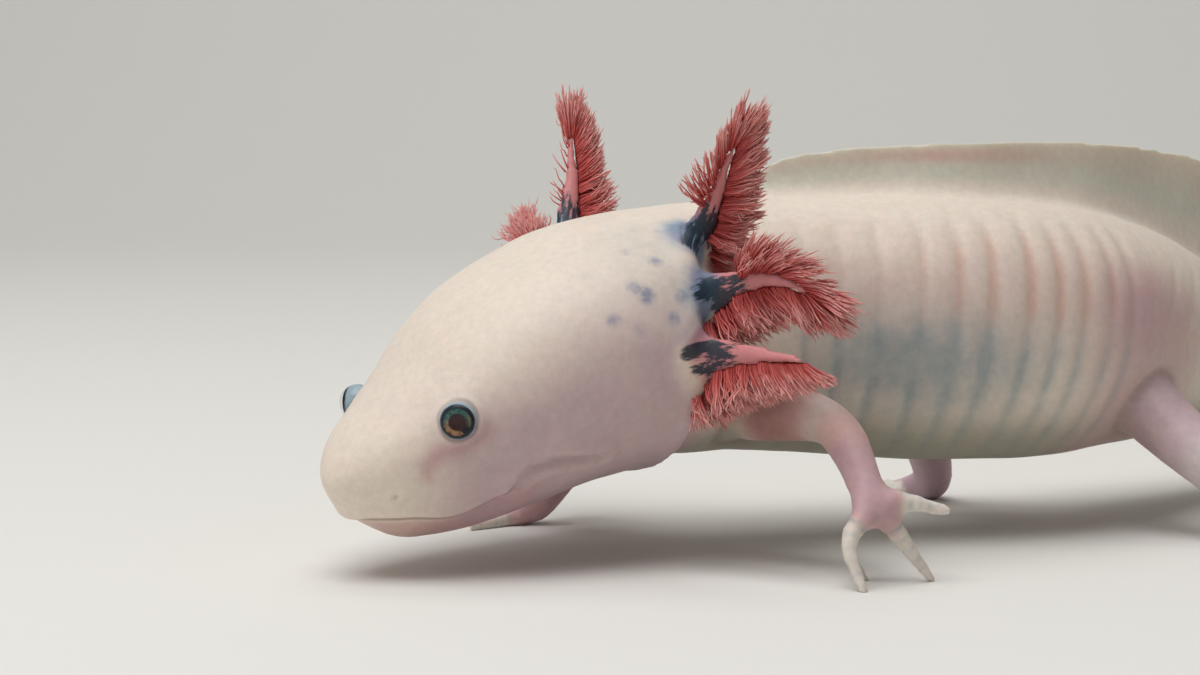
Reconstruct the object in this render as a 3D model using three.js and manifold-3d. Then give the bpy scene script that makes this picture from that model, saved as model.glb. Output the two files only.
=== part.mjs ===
// Axolotl (Ambystoma mexicanum), an adult with pale skin, standing on four legs.
// Life size in millimetres, +Z up, the head towards -X, the floor at z = 0 under the middle of the animal.
// The body is lofted whole along a bent spine and then parted with thin cuts.
import * as THREE from "three";
import { mergeVertices } from "three/addons/utils/BufferGeometryUtils.js";
import Module from "manifold-3d";

// ---------------------------------------------------------------- driving dimensions
const LENGTH = 230; // snout to tail tip, along the spine
const GAP = 0.3; // between neighbouring pieces
const SNOUT = new THREE.Vector3(-99.1, -41.6, 9.7);

// The run of the spine: distance from the snout, heading towards the far side, rise of the backward line.
const SPINE = [
  [0, 34, 24],
  [25, 34, 24],
  [44, 30, 5],
  [55, 18, 0],
  [70, 11, -2],
  [85, 25, -4],
  [100, 43, -8],
  [115, 50, -12],
  [130, 46, -10],
  [145, 34, -4],
  [165, 16, 0],
  [195, -6, 0],
  [LENGTH, -20, 0],
];

// Sections across the spine: distance from the snout, half width, height above and depth below the spine.
const SECTIONS = [
  [0, 4.4, 3.2, 6.2],
  [5, 6.9, 4.5, 8.8],
  [12, 10.5, 7, 11],
  [18, 13, 10.1, 12],
  [24, 14.8, 11.6, 12.6],
  [30, 16.3, 11.9, 13.6],
  [36, 16.9, 12.4, 14.2],
  [42, 15.4, 12.4, 14.6],
  [50, 12.6, 12.6, 14.8],
  [60, 12.8, 13, 15.4],
  [75, 14, 13.6, 16.2],
  [88, 13.8, 13.4, 15.8],
  [100, 12.2, 12.6, 14],
  [112, 9.6, 11.4, 12],
  [128, 6.4, 9.4, 9],
  [145, 5, 7.6, 6.8],
  [190, 2.8, 4, 3.8],
  [LENGTH, 0.6, 0.8, 0.8],
];
const SNOUT_ROUND = 6; // length over which the snout rounds off
const AROUND_BODY = 18;
// Squareness of the sections: an ellipse at 1, nearer to a rectangle below that.
const SQUARENESS = [
  [0, 1.05],
  [12, 1],
  [28, 0.86],
  [40, 0.86],
  [56, 0.95],
];

// Where the body is parted, by distance from the snout.
const PARTINGS = {
  neck: 45,
  trunk_front: 56,
  trunk_rear: 80,
  pelvis: 102,
  tail_base: 122,
  tail_middle: 155,
  tail_end: 192,
};

// Fins: distance from the snout, height of the rim above (or below) the body.
const BACK_FIN = [
  [50, 0],
  [60, 5],
  [80, 6.4],
  [92, 7.8],
  [102, 9.4],
  [120, 12.6],
  [150, 12.4],
  [190, 9.5],
  [215, 5.5],
  [LENGTH + 1, 0.5],
];
const BELLY_FIN = [
  [126, 0],
  [140, 4],
  [160, 7.5],
  [190, 7.5],
  [215, 4.5],
  [LENGTH + 1, 0.5],
];
const FIN_ROOT_THICKNESS = 2.4;
const FIN_RIM_THICKNESS = 0.7;
const FIN_ROOT_DEPTH = 3;

// Eyes, in the head's own axes: the ball, the socket round it and the swelling of skin that carries it.
const EYE = { back: 11.6, side: 10.3, up: 2.8, radius: 1.9 };
const EYE_SWELLING = { reach: 3.6, rise: 0.7 };

// The mouth line in the head's own axes, from in front of the lips to the corner: distance back, height.
const MOUTH_LINE = [
  [-10, -3],
  [0, -3.6],
  [5, -5.5],
  [10, -7.7],
  [13.5, -7.2],
  [15.6, -6.3],
];
const JAW_REAR = 25; // how far back the jaw reaches under the throat

// Limbs. Bones are [heading, rise, length]; the root is given in the spine's own axes at a distance s.
const LIMBS = {
  foreleg_left: {
    root: { s: 49, left: 7, up: -9.5 },
    bones: [
      [-46, -2, 14.2],
      [-69, -33, 10.2],
      [-68, -46, 2.4],
    ],
    girth: [3.5, 2.7, 2.25, 2.1],
    names: ["foreleg_left_upper", "foreleg_left_lower", "hand_left"],
    digits: [
      { root: [0.6, 0, 0.6], bones: [[4, 2, 1.6], [5, -11, 5.9]], girth: 0.85 },
      { root: [0.4, 0, 0], bones: [[20, -52, 10.4]], girth: 0.85 },
      { root: [-0.3, -0.3, -0.2], bones: [[225, -40, 4.6], [-47, -66, 5.6]], girth: 0.85 },
      { root: [-0.3, 0.3, -0.2], bones: [[150, -60, 4.6], [30, -62, 5]], girth: 0.7 },
    ],
  },
  foreleg_right: {
    root: { s: 49, left: -7, up: -9.5 },
    bones: [
      [138, -22, 13.6],
      [185, -52, 10.2],
      [182, -38, 2.6],
    ],
    girth: [3.5, 2.7, 2.25, 2],
    names: ["foreleg_right_upper", "foreleg_right_lower", "hand_right"],
    fan: { heading: 176, spread: 96, lengths: [5.6, 7.8, 8, 6] },
  },
  hindleg_left: {
    root: { s: 97.5, left: 6, up: -6 },
    bones: [
      [-45, -34, 17],
      [-14, -35, 9.6],
      [-24, -14, 3.4],
    ],
    girth: [4.2, 2.9, 2.3, 2.1],
    names: ["hindleg_left_upper", "hindleg_left_lower", "foot_left"],
    fan: { heading: -30, spread: 120, lengths: [4.4, 6.6, 7.8, 7.4, 5.4] },
  },
  hindleg_right: {
    root: { s: 99, left: -6, up: -6 },
    bones: [
      [150, -24, 15.5],
      [82, -56, 10],
      [120, -18, 3.4],
    ],
    girth: [4.2, 2.9, 2.3, 2.1],
    names: ["hindleg_right_upper", "hindleg_right_lower", "foot_right"],
    fan: { heading: 140, spread: 120, lengths: [5.4, 7.4, 7.8, 6.6, 4.4] },
  },
};
const DIGIT_GIRTH = 0.8;
const DIGIT_TAPER = 0.55; // girth of a digit's tip as a share of its root's
const PALM_BEYOND = 0.7; // share of the palm's length by which it reaches past the roots of its digits
const SOLE_HEIGHT = 0.55; // of the middle of a toe above the floor

// Gills. The stalk's bones are [heading, rise, length]. Filaments hang from it towards a heading and rise,
// and others stand up from its outer part. "fringe" is how far each row reaches.
const GILLS = {
  gill_left_1: {
    root: { s: 42.5, left: 9, up: 7.5 },
    bones: [[-50, 55, 6.5], [-50, 62, 4.6], [-45, 62, 4]],
    hang: [15, -25],
    fringe: [6.6, 4],
  },
  gill_left_2: {
    root: { s: 40, left: 13, up: 3 },
    bones: [[-32, 26, 6], [-32, 9, 4.6], [-30, -20, 5.2]],
    hang: [0, -75],
    fringe: [5, 4],
  },
  gill_left_3: {
    root: { s: 37.5, left: 14, up: -2.4 },
    bones: [[-40, 13, 5], [-40, 5, 4], [-38, -2, 5.4]],
    hang: [0, -80],
    fringe: [6, 0],
  },
  gill_right_1: {
    root: { s: 41, left: -13, up: 6 },
    bones: [[90, 56, 6.5], [84, 62, 5.4], [96, 68, 6]],
    hang: [5, -25],
    fringe: [6, 0],
  },
  gill_right_2: {
    root: { s: 40, left: -13, up: 3 },
    bones: [[112, 20, 6], [106, 26, 5], [100, 24, 4.4]],
    hang: [20, -60],
    fringe: [5, 4],
  },
  gill_right_3: {
    root: { s: 37.5, left: -14, up: -2 },
    bones: [[112, 8, 5.4], [100, 0, 4], [90, -10, 5]],
    hang: [20, -75],
    fringe: [6, 0],
  },
};
const STALK = { root: 2.5, tip: 0.45, taper: 0.7, flatness: 0.42 };
const VANE = {
  base: 0.35,
  notch: 0.6,
  tip: 0.16,
  thickness: 0.6,
  splay: 20,
  hanging: { from: 0.16, to: 0.99, teeth: 7, leans: [-12, 72] },
  standing: { from: 0.55, to: 0.97, teeth: 4, leans: [22, 72] },
};

const SKIN = { color: "#cdbfa9", roughness: 0.42 };
const GILL_SKIN = { color: "#a8423c", roughness: 0.4 };
const EYE_LOOK = { color: "#2b1b17", roughness: 0.12 };

// ---------------------------------------------------------------- solids
const wasm = await Module();
wasm.setup();

/** The solid inside a closed geometry. */
function solidOf(geometry) {
  geometry.deleteAttribute("normal");
  geometry.deleteAttribute("uv");
  const merged = mergeVertices(geometry);
  const mesh = new wasm.Mesh({
    numProp: 3,
    vertProperties: new Float32Array(merged.attributes.position.array),
    triVerts: new Uint32Array(merged.index.array),
  });
  return new wasm.Manifold(mesh);
}

/** The named mesh of a solid. */
function pieceOf(name, solid, look) {
  const { vertProperties, triVerts } = solid.getMesh();
  const geometry = new THREE.BufferGeometry();
  geometry.setAttribute("position", new THREE.BufferAttribute(new Float32Array(vertProperties), 3));
  geometry.setIndex(new THREE.BufferAttribute(new Uint32Array(triVerts), 1));
  geometry.computeVertexNormals();
  const mesh = new THREE.Mesh(geometry, new THREE.MeshStandardMaterial({ metalness: 0, ...look }));
  mesh.name = name;
  return mesh;
}

/** A closed surface through rings of points; the first and the last ring are one point each. */
function loft(rings, around, pointAt) {
  const geometry = new THREE.SphereGeometry(1, around, rings);
  const place = geometry.attributes.position;
  for (let i = 0; i < place.count; i++) {
    const ring = Math.floor(i / (around + 1));
    const turn = ((i % (around + 1)) % around) * ((2 * Math.PI) / around);
    const point = pointAt(ring, turn);
    place.setXYZ(i, point.x, point.y, point.z);
  }
  return solidOf(geometry);
}

/** A smooth run through the rows of a table, which never overshoots between two rows. */
function smoothRun(rows, column = 1) {
  const at = rows.map((row) => row[0]);
  const value = rows.map((row) => row[column]);
  const last = rows.length - 1;
  const slope = (i) => (value[i + 1] - value[i]) / (at[i + 1] - at[i]);
  const tangent = at.map((_, i) => {
    if (i === 0) return slope(0);
    if (i === last) return slope(last - 1);
    const [before, after] = [slope(i - 1), slope(i)];
    return before * after <= 0 ? 0 : (2 * before * after) / (before + after);
  });
  return (where) => {
    const x = THREE.MathUtils.clamp(where, at[0], at[last]);
    const i = Math.max(0, Math.min(last - 1, at.findLastIndex((start) => start <= x)));
    const width = at[i + 1] - at[i];
    const t = (x - at[i]) / width;
    const rise = value[i + 1] - value[i];
    const [from, to] = [tangent[i] * width, tangent[i + 1] * width];
    return value[i] + t * (from + t * (3 * rise - 2 * from - to + t * (from + to - 2 * rise)));
  };
}

// ---------------------------------------------------------------- the spine and the body round it
const UP = new THREE.Vector3(0, 0, 1);
const headingAt = smoothRun(SPINE, 1);
const riseAt = smoothRun(SPINE, 2);
const halfWidthAt = smoothRun(SECTIONS, 1);
const heightAt = smoothRun(SECTIONS, 2);
const depthAt = smoothRun(SECTIONS, 3);
const squarenessAt = smoothRun(SQUARENESS);

/** A unit vector from a heading in the floor plane and a rise above it, in degrees. */
function direction(heading, rise) {
  const [h, r] = [heading, rise].map(THREE.MathUtils.degToRad);
  return new THREE.Vector3(Math.cos(h) * Math.cos(r), Math.sin(h) * Math.cos(r), Math.sin(r));
}

const spinePoints = [SNOUT.clone()];
for (let s = 0; s < LENGTH; s++) {
  spinePoints.push(spinePoints[s].clone().add(direction(headingAt(s + 0.5), riseAt(s + 0.5))));
}

/** The animal's own axes at a distance from the snout. */
function axesAt(s) {
  const back = direction(headingAt(s), riseAt(s));
  const left = UP.clone().cross(back.clone().negate()).normalize();
  const up = back.clone().negate().cross(left);
  const step = Math.min(LENGTH - 1, Math.floor(s));
  const centre = spinePoints[step].clone().lerp(spinePoints[step + 1], s - step);
  return { centre, back, left, up };
}

/** A point given in an axis set's own directions. */
function placed(axes, back, left, up) {
  return axes.centre
    .clone()
    .addScaledVector(axes.back, back)
    .addScaledVector(axes.left, left)
    .addScaledVector(axes.up, up);
}

const headAxes = axesAt(0);

/** The two eyes: the centre of each ball, and the way that it faces out of the head. */
const eyes = [1, -1].map((side) => {
  const centre = placed(headAxes, EYE.back, side * EYE.side, EYE.up);
  const outward = placed(headAxes, 0, side * EYE.side, EYE.up).sub(headAxes.centre).normalize();
  return { centre, outward };
});

/** A number with its sign kept and its size raised to a power. */
const bent = (value, power) => Math.sign(value) * Math.abs(value) ** power;

/** How far an end has opened, from 0 at the tip to 1 where its rounding ends. */
const opening = (s, round) => Math.sqrt(Math.max(0, 1 - (1 - Math.min(1, s / round)) ** 2));

/** A point of the body's surface, at a distance from the snout and a turn from left over the back. */
function bodyPoint(s, turn, grown = 0) {
  const axes = axesAt(s);
  const open = opening(s, SNOUT_ROUND);
  const squareness = squarenessAt(s);
  const side = bent(Math.cos(turn), squareness);
  const rise = bent(Math.sin(turn), squareness);
  const height = (rise > 0 ? heightAt(s) : depthAt(s)) * open;
  const width = halfWidthAt(s) * open;
  const point = placed(axes, 0, side * (width + grown), rise * (height + grown));
  for (const { centre, outward } of eyes) {
    const near = Math.exp(-((point.distanceTo(centre) / EYE_SWELLING.reach) ** 2));
    point.addScaledVector(outward, EYE_SWELLING.rise * near);
  }
  return point;
}

/** The distances from the snout at which the body has rings. */
function bodyStations() {
  const stations = [];
  const snoutRings = 4;
  for (let i = 0; i < snoutRings; i++) {
    stations.push(SNOUT_ROUND * (1 - Math.cos((i * Math.PI) / (2 * snoutRings))));
  }
  for (let s = SNOUT_ROUND; s < 50; s += 3.4) stations.push(s);
  for (let s = 50; s < 124; s += 5) stations.push(s);
  for (let s = 124; s < LENGTH; s += 8) stations.push(s);
  stations.push(LENGTH);
  return stations;
}

function bodySolid(grown = 0) {
  const stations = bodyStations();
  return loft(stations.length - 1, AROUND_BODY, (ring, turn) => {
    const s = stations[ring];
    if (ring === 0) return placed(axesAt(0), -grown, 0, 0);
    if (ring === stations.length - 1) return placed(axesAt(LENGTH), grown, 0, 0);
    return bodyPoint(s, turn, grown);
  });
}

const body = bodySolid();
const bodyGrown = bodySolid(GAP);

/** What is left of a solid between two stations of the spine. */
function between(solid, from, to) {
  let rest = solid;
  if (from > 0) {
    const axes = axesAt(from);
    rest = rest.trimByPlane(axes.back.toArray(), axes.back.dot(axes.centre) + GAP / 2);
  }
  if (to < LENGTH) {
    const axes = axesAt(to);
    const forward = axes.back.clone().negate();
    rest = rest.trimByPlane(forward.toArray(), forward.dot(axes.centre) + GAP / 2);
  }
  return rest;
}

const group = new THREE.Group();

// ---------------------------------------------------------------- head, jaw and eyes
function ballSolid(centre, radius) {
  const geometry = new THREE.SphereGeometry(radius, 11, 7);
  geometry.translate(centre.x, centre.y, centre.z);
  return solidOf(geometry);
}

/** The space below the mouth line, back to the throat; "grown" moves its upper and rear faces outwards. */
function belowMouth(grown) {
  const below = -30;
  const corner = MOUTH_LINE[MOUTH_LINE.length - 1];
  const outline = new THREE.Shape();
  outline.moveTo(MOUTH_LINE[0][0], below);
  outline.lineTo(JAW_REAR + grown, below);
  outline.lineTo(corner[0] + grown, corner[1] + grown);
  for (const [back, height] of MOUTH_LINE.slice(0, -1).reverse()) outline.lineTo(back, height + grown);
  const reach = 20;
  const geometry = new THREE.ExtrudeGeometry(outline, { depth: 2 * reach, bevelEnabled: false });
  // The outline's x runs back, its y up, and its depth to the animal's left.
  const placing = new THREE.Matrix4().makeBasis(headAxes.back, headAxes.up, headAxes.left);
  placing.setPosition(placed(headAxes, 0, -reach, 0));
  geometry.applyMatrix4(placing);
  return solidOf(geometry);
}

const sockets = eyes.map(({ centre }) => ballSolid(centre, EYE.radius + GAP));
const blindHead = between(body, 0, PARTINGS.neck);
const wholeHead = sockets.reduce((head, socket) => head.subtract(socket), blindHead);
group.add(pieceOf("head", wholeHead.subtract(belowMouth(GAP)), SKIN));
group.add(pieceOf("lower_jaw", wholeHead.intersect(belowMouth(0)), SKIN));
["eye_left", "eye_right"].forEach((name, i) => {
  group.add(pieceOf(name, ballSolid(eyes[i].centre, EYE.radius), EYE_LOOK));
});

// ---------------------------------------------------------------- neck, trunk and tail
const lengths = Object.entries(PARTINGS);
lengths.forEach(([name, from], i) => {
  const to = i + 1 < lengths.length ? lengths[i + 1][1] : LENGTH;
  group.add(pieceOf(name, between(body, from, to), SKIN));
});

// ---------------------------------------------------------------- fins
/** A fin along the body's back (side 1) or belly (side -1), as one thin blade. */
function finSolid(rows, side) {
  const rimAt = smoothRun(rows);
  const [first, last] = [rows[0][0], rows[rows.length - 1][0]];
  const rings = Math.round((last - first) / 8);
  const blade = loft(rings, 6, (ring, turn) => {
    const s = first + ((last - first) * ring) / rings;
    const axes = axesAt(Math.min(s, LENGTH));
    const skin = side > 0 ? heightAt(s) : depthAt(s);
    const inner = Math.max(skin - FIN_ROOT_DEPTH, 0);
    const outer = skin + rimAt(s);
    const share = (1 + bent(Math.sin(turn), 0.8)) / 2;
    const thickness = THREE.MathUtils.lerp(FIN_ROOT_THICKNESS, FIN_RIM_THICKNESS, share);
    const end = ring === 0 || ring === rings ? 0 : 1;
    const over = Math.max(0, s - LENGTH);
    const across = (side * Math.cos(turn) * thickness * end) / 2;
    return placed(axes, over, across, side * THREE.MathUtils.lerp(inner, outer, end ? share : 0.5));
  });
  return blade.subtract(bodyGrown);
}

const backFin = finSolid(BACK_FIN, 1);
group.add(pieceOf("dorsal_fin", between(backFin, 0, PARTINGS.tail_base), SKIN));
group.add(pieceOf("tail_fin_upper", between(backFin, PARTINGS.tail_base, LENGTH), SKIN));
group.add(pieceOf("tail_fin_lower", finSolid(BELLY_FIN, -1), SKIN));

// ---------------------------------------------------------------- tubes
/** A round-ended tube along a smooth path; flatness 1 is round, and "broad" is a flat one's wider way. */
function tube({ points, girthAt, around, steps, broad = UP, flatness = 1 }) {
  const path = new THREE.CatmullRomCurve3(points);
  const length = path.getLength();
  const cap = (end) => 0.55 * girthAt(end);
  const { lerp } = THREE.MathUtils;
  const rows = [[0, 0], [cap(0) * 0.3, 0.7]];
  for (let i = 0; i <= steps; i++) rows.push([lerp(cap(0), length - cap(1), i / steps), 1]);
  rows.push([length - cap(1) * 0.3, 0.7], [length, 0]);
  return loft(rows.length - 1, around, (ring, turn) => {
    const [along, open] = rows[ring];
    const share = along / length;
    const tangent = path.getTangentAt(share);
    const wide = broad.clone().addScaledVector(tangent, -broad.dot(tangent)).normalize();
    const narrow = wide.clone().cross(tangent);
    const radius = girthAt(share) * open;
    return path
      .getPointAt(share)
      .addScaledVector(wide, Math.cos(turn) * radius)
      .addScaledVector(narrow, Math.sin(turn) * radius * flatness);
  });
}

/** The joints of a chain of bones, from its root outwards. */
function joints(root, bones) {
  const chain = [root];
  for (const [heading, rise, length] of bones) {
    chain.push(chain[chain.length - 1].clone().addScaledVector(direction(heading, rise), length));
  }
  return chain;
}

const rootOf = ({ s, left, up }) => placed(axesAt(s), 0, left, up);
const union = (solids) => solids.reduce((whole, solid) => whole.add(solid));
const aboveFloor = (solid) => solid.trimByPlane([0, 0, 1], 0);

// ---------------------------------------------------------------- limbs
/** Digits of a flat hand or foot: they fan out and come down to the floor. */
function fanDigits(palm, { heading, spread, lengths }) {
  return lengths.map((length, i) => {
    const turn = heading + spread * (i / (lengths.length - 1) - 0.5);
    const fall = THREE.MathUtils.radToDeg(Math.asin((palm.z - SOLE_HEIGHT) / (length * 0.6)));
    const bones = [[turn, -fall, length * 0.6], [turn, 0, length * 0.7]];
    return { root: [0, 0, 0], bones, girth: DIGIT_GIRTH };
  });
}

function digitSolid(palm, { root, bones, girth }) {
  const points = joints(palm.clone().add(new THREE.Vector3(...root)), bones);
  const girthAt = (share) => girth * THREE.MathUtils.lerp(1, DIGIT_TAPER, share);
  return tube({ points, girthAt, around: 5, steps: 2 });
}

/** The solid on the outer side of a joint, or on the inner side where side is -1. */
function beyondJoint(solid, chain, joint, side) {
  const inward = chain[joint].clone().sub(chain[joint - 1]).normalize();
  const outward = chain[joint + 1].clone().sub(chain[joint]).normalize();
  const normal = inward.add(outward).normalize().multiplyScalar(side);
  return solid.trimByPlane(normal.toArray(), normal.dot(chain[joint]) + GAP / 2);
}

function addLimb({ root, bones, girth, names, digits, fan }) {
  const chain = joints(rootOf(root), bones);
  const shares = chain.map((_, i) => i / (chain.length - 1));
  const along = [0];
  for (let i = 1; i < chain.length; i++) along.push(along[i - 1] + chain[i].distanceTo(chain[i - 1]));
  const girthAt = smoothRun(shares.map((_, i) => [along[i] / along[along.length - 1], girth[i]]));
  const [, elbow, wrist, palm] = chain;
  const arm = tube({ points: chain, girthAt, around: 9, steps: 9 }).subtract(bodyGrown);
  const palmWays = [wrist.clone().lerp(elbow, 0.25), wrist, palm, palm.clone().lerp(wrist, -PALM_BEYOND)];
  const fingers = (digits ?? fanDigits(palm, fan)).map((digit) => digitSolid(palm, digit));
  const palmTube = tube({ points: palmWays, girthAt: () => girth[3], around: 8, steps: 2 });
  const hand = union([palmTube, ...fingers]);
  const upper = beyondJoint(arm, chain, 1, -1);
  const lower = beyondJoint(beyondJoint(arm, chain, 1, 1), chain, 2, -1);
  const end = aboveFloor(beyondJoint(hand, chain, 2, 1));
  [upper, lower, end].forEach((solid, i) => group.add(pieceOf(names[i], solid, SKIN)));
}

Object.values(LIMBS).forEach(addLimb);

// ---------------------------------------------------------------- gills
/** The comb-edged outline of one row of filaments: x runs along the stalk, y away from it. */
function vaneOutline(length, reach, { from, to, teeth, leans }) {
  const outline = new THREE.Shape();
  const rootOfTooth = (i) => THREE.MathUtils.lerp(from, to, i / teeth) * length;
  const lineTo = (along, away, share) => {
    const lean = THREE.MathUtils.degToRad(THREE.MathUtils.lerp(leans[0], leans[1], share));
    outline.lineTo(along + away * Math.sin(lean), VANE.base + away * Math.cos(lean));
  };
  outline.moveTo(rootOfTooth(0), VANE.base);
  outline.lineTo(rootOfTooth(teeth), VANE.base);
  for (let i = teeth - 1; i >= 0; i--) {
    const middle = (rootOfTooth(i) + rootOfTooth(i + 1)) / 2;
    const share = (i + 0.5) / teeth;
    lineTo(middle + VANE.tip, reach, share);
    lineTo(middle - VANE.tip, reach, share);
    if (i > 0) lineTo(rootOfTooth(i), reach * VANE.notch, i / teeth);
  }
  return outline;
}

/** One row of filaments as a thin vane that follows the stalk. */
function vaneSolid(path, hanging, side, splay, reach, row) {
  const length = path.getLength();
  const outline = vaneOutline(length, reach, row);
  const geometry = new THREE.ExtrudeGeometry(outline, { depth: VANE.thickness, bevelEnabled: false });
  const place = geometry.attributes.position;
  for (let i = 0; i < place.count; i++) {
    const along = THREE.MathUtils.clamp(place.getX(i) / length, 0, 1);
    const tangent = path.getTangentAt(along);
    const out = hanging.clone().addScaledVector(tangent, -hanging.dot(tangent)).normalize();
    out.applyAxisAngle(tangent, THREE.MathUtils.degToRad(splay)).multiplyScalar(side);
    const across = tangent.clone().cross(out);
    const point = path
      .getPointAt(along)
      .addScaledVector(tangent, place.getX(i) - along * length)
      .addScaledVector(out, place.getY(i))
      .addScaledVector(across, place.getZ(i) - VANE.thickness / 2);
    place.setXYZ(i, point.x, point.y, point.z);
  }
  return solidOf(geometry);
}

/** One gill: a flattened stalk, two rows of filaments hanging from it and one standing on its outer half. */
function gillSolid({ root, bones, hang, fringe }) {
  const points = joints(rootOf(root), bones);
  const path = new THREE.CatmullRomCurve3(points);
  const hanging = direction(...hang);
  const girthAt = (share) => THREE.MathUtils.lerp(STALK.root, STALK.tip, share ** STALK.taper);
  const stalk = tube({ points, girthAt, around: 6, steps: 4, broad: hanging, flatness: STALK.flatness });
  const splays = [VANE.splay, -VANE.splay];
  const rows = splays.map((splay) => vaneSolid(path, hanging, 1, splay, fringe[0], VANE.hanging));
  if (fringe[1] > 0) rows.push(vaneSolid(path, hanging, -1, 0, fringe[1], VANE.standing));
  return union([stalk, ...rows]).subtract(bodyGrown);
}

for (const [name, gill] of Object.entries(GILLS)) group.add(pieceOf(name, gillSolid(gill), GILL_SKIN));

export default group;
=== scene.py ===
"""Axolotl: the looks of a still, life-size museum model of a pale adult axolotl.

One skin is built over the whole animal from the same spine, sections, limbs and fins as the solids, with
the folds, grooves and lips that the solids leave out. The eyes and the fringes of the six gills are pieces
of their own. Lengths in the tables are in millimetres, as on the bench, and the meshes are in metres.
"""

import math
from collections import namedtuple
from functools import partial

import bmesh
import bpy
import numpy as np
from bpy.props import FloatProperty, FloatVectorProperty, IntProperty, PointerProperty
from mathutils import Euler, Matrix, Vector, noise


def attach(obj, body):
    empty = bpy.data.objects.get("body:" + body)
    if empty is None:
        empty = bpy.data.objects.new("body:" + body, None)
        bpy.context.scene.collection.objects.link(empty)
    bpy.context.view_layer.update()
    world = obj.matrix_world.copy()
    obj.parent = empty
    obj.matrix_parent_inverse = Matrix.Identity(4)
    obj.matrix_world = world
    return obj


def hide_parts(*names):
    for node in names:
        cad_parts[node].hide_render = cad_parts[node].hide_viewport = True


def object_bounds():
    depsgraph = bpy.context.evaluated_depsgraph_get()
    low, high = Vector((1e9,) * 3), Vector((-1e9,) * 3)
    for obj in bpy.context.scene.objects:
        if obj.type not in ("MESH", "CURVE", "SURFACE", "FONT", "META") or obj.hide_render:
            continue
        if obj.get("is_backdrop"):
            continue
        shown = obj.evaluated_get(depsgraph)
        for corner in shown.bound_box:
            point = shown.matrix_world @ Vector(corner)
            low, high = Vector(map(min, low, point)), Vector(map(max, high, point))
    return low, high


bl_info = {
    "name": "Axolotl Museum Model",
    "version": (1, 0, 0),
    "blender": (4, 5, 0),
    "location": "3D View > Sidebar > Axolotl",
    "description": "Skin, eyes, gill fringes and studio of a life-size axolotl model",
    "category": "Object",
}

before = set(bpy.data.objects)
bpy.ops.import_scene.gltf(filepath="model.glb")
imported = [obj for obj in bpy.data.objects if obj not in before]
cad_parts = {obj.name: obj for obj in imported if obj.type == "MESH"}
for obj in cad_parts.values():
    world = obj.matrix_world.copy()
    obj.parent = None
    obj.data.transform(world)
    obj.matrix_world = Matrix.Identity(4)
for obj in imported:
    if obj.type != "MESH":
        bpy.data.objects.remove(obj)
CAD_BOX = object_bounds()

# ---- the animal's own measures, in mm
MM = 0.001
LENGTH = 230.0  # along the spine, from snout to tail tip
SNOUT = np.array([-99.1, -41.6, 9.7])

# The run of the spine: distance from the snout, heading towards the far side, rise of the backward line.
SPINE = [
    (0, 34, 24), (25, 34, 24), (44, 30, 5), (55, 18, 0), (70, 11, -2), (85, 25, -4), (100, 43, -8),
    (115, 50, -12), (130, 46, -10), (145, 34, -4), (165, 16, 0), (195, -6, 0), (230, -20, 0),
]
# Sections across the spine: distance from the snout, half width, height above and depth below the spine.
SECTIONS = [
    (0, 4.4, 3.2, 6.2), (5, 6.9, 4.5, 8.6), (12, 10.5, 7, 11), (18, 13, 10.1, 12), (24, 14.8, 11.6, 12.6),
    (30, 16.3, 11.9, 13.6), (36, 16.9, 12.4, 14.2), (42, 15.4, 12.4, 14.6), (50, 12.6, 12.6, 14.8),
    (60, 12.8, 13, 15.4), (75, 14, 13.6, 16.2), (88, 13.8, 13.4, 15.8), (100, 12.2, 12.6, 14),
    (112, 9.6, 11.4, 12), (128, 6.4, 9.4, 9), (145, 5, 7.6, 6.8), (190, 2.8, 4, 3.8), (230, 0.6, 0.8, 0.8),
]
SQUARENESS = [(0, 0.88), (12, 0.96), (28, 0.86), (40, 0.86), (56, 0.95)]
SNOUT_ROUND = 6
BODY_STEP = 0.9  # between the rings of the body's form
BACK_FIN = [(50, 0), (60, 5), (80, 6.4), (92, 7.8), (102, 9.4), (120, 12.6), (150, 12.4), (190, 9.5),
            (215, 5.5), (231, 0.5)]
BELLY_FIN = [(126, 0), (140, 4), (160, 7.5), (190, 7.5), (215, 4.5), (231, 0.5)]
# The fins are joined to the skin with a thick rim, which is then thinned to a share of that.
FIN_DEPTH, FIN_ROOT, FIN_RIM_CAST, FIN_THINNED = 3, 3.2, 2.0, 0.36
RIM_SLOT = 1.2  # length along the spine over which the rim of a fin is measured

EYE_BACK, EYE_SIDE, EYE_UP, EYE_RADIUS = 11.6, 10.3, 2.8, 1.9
EYE_SWELLING_REACH, EYE_SWELLING_RISE = 3.6, 0.7
GAZE_FORWARD = math.radians(34)  # from straight out of the side of the head
IRIS_DEPTH, IRIS_RADIUS, IRIS_DISH = 1.1, 1.55, 0.16
DOME_GAP, DOME_BASE = 0.03, -0.4
MOUTH_CORNER = 15.6
MOUTH_LINE = [(-10, -4.7), (0, -4.6), (1.6, -4.5), (3, -4.9), (5, -5.7), (10, -7.7), (13.5, -7.2),
              (MOUTH_CORNER, -6.3)]

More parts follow.
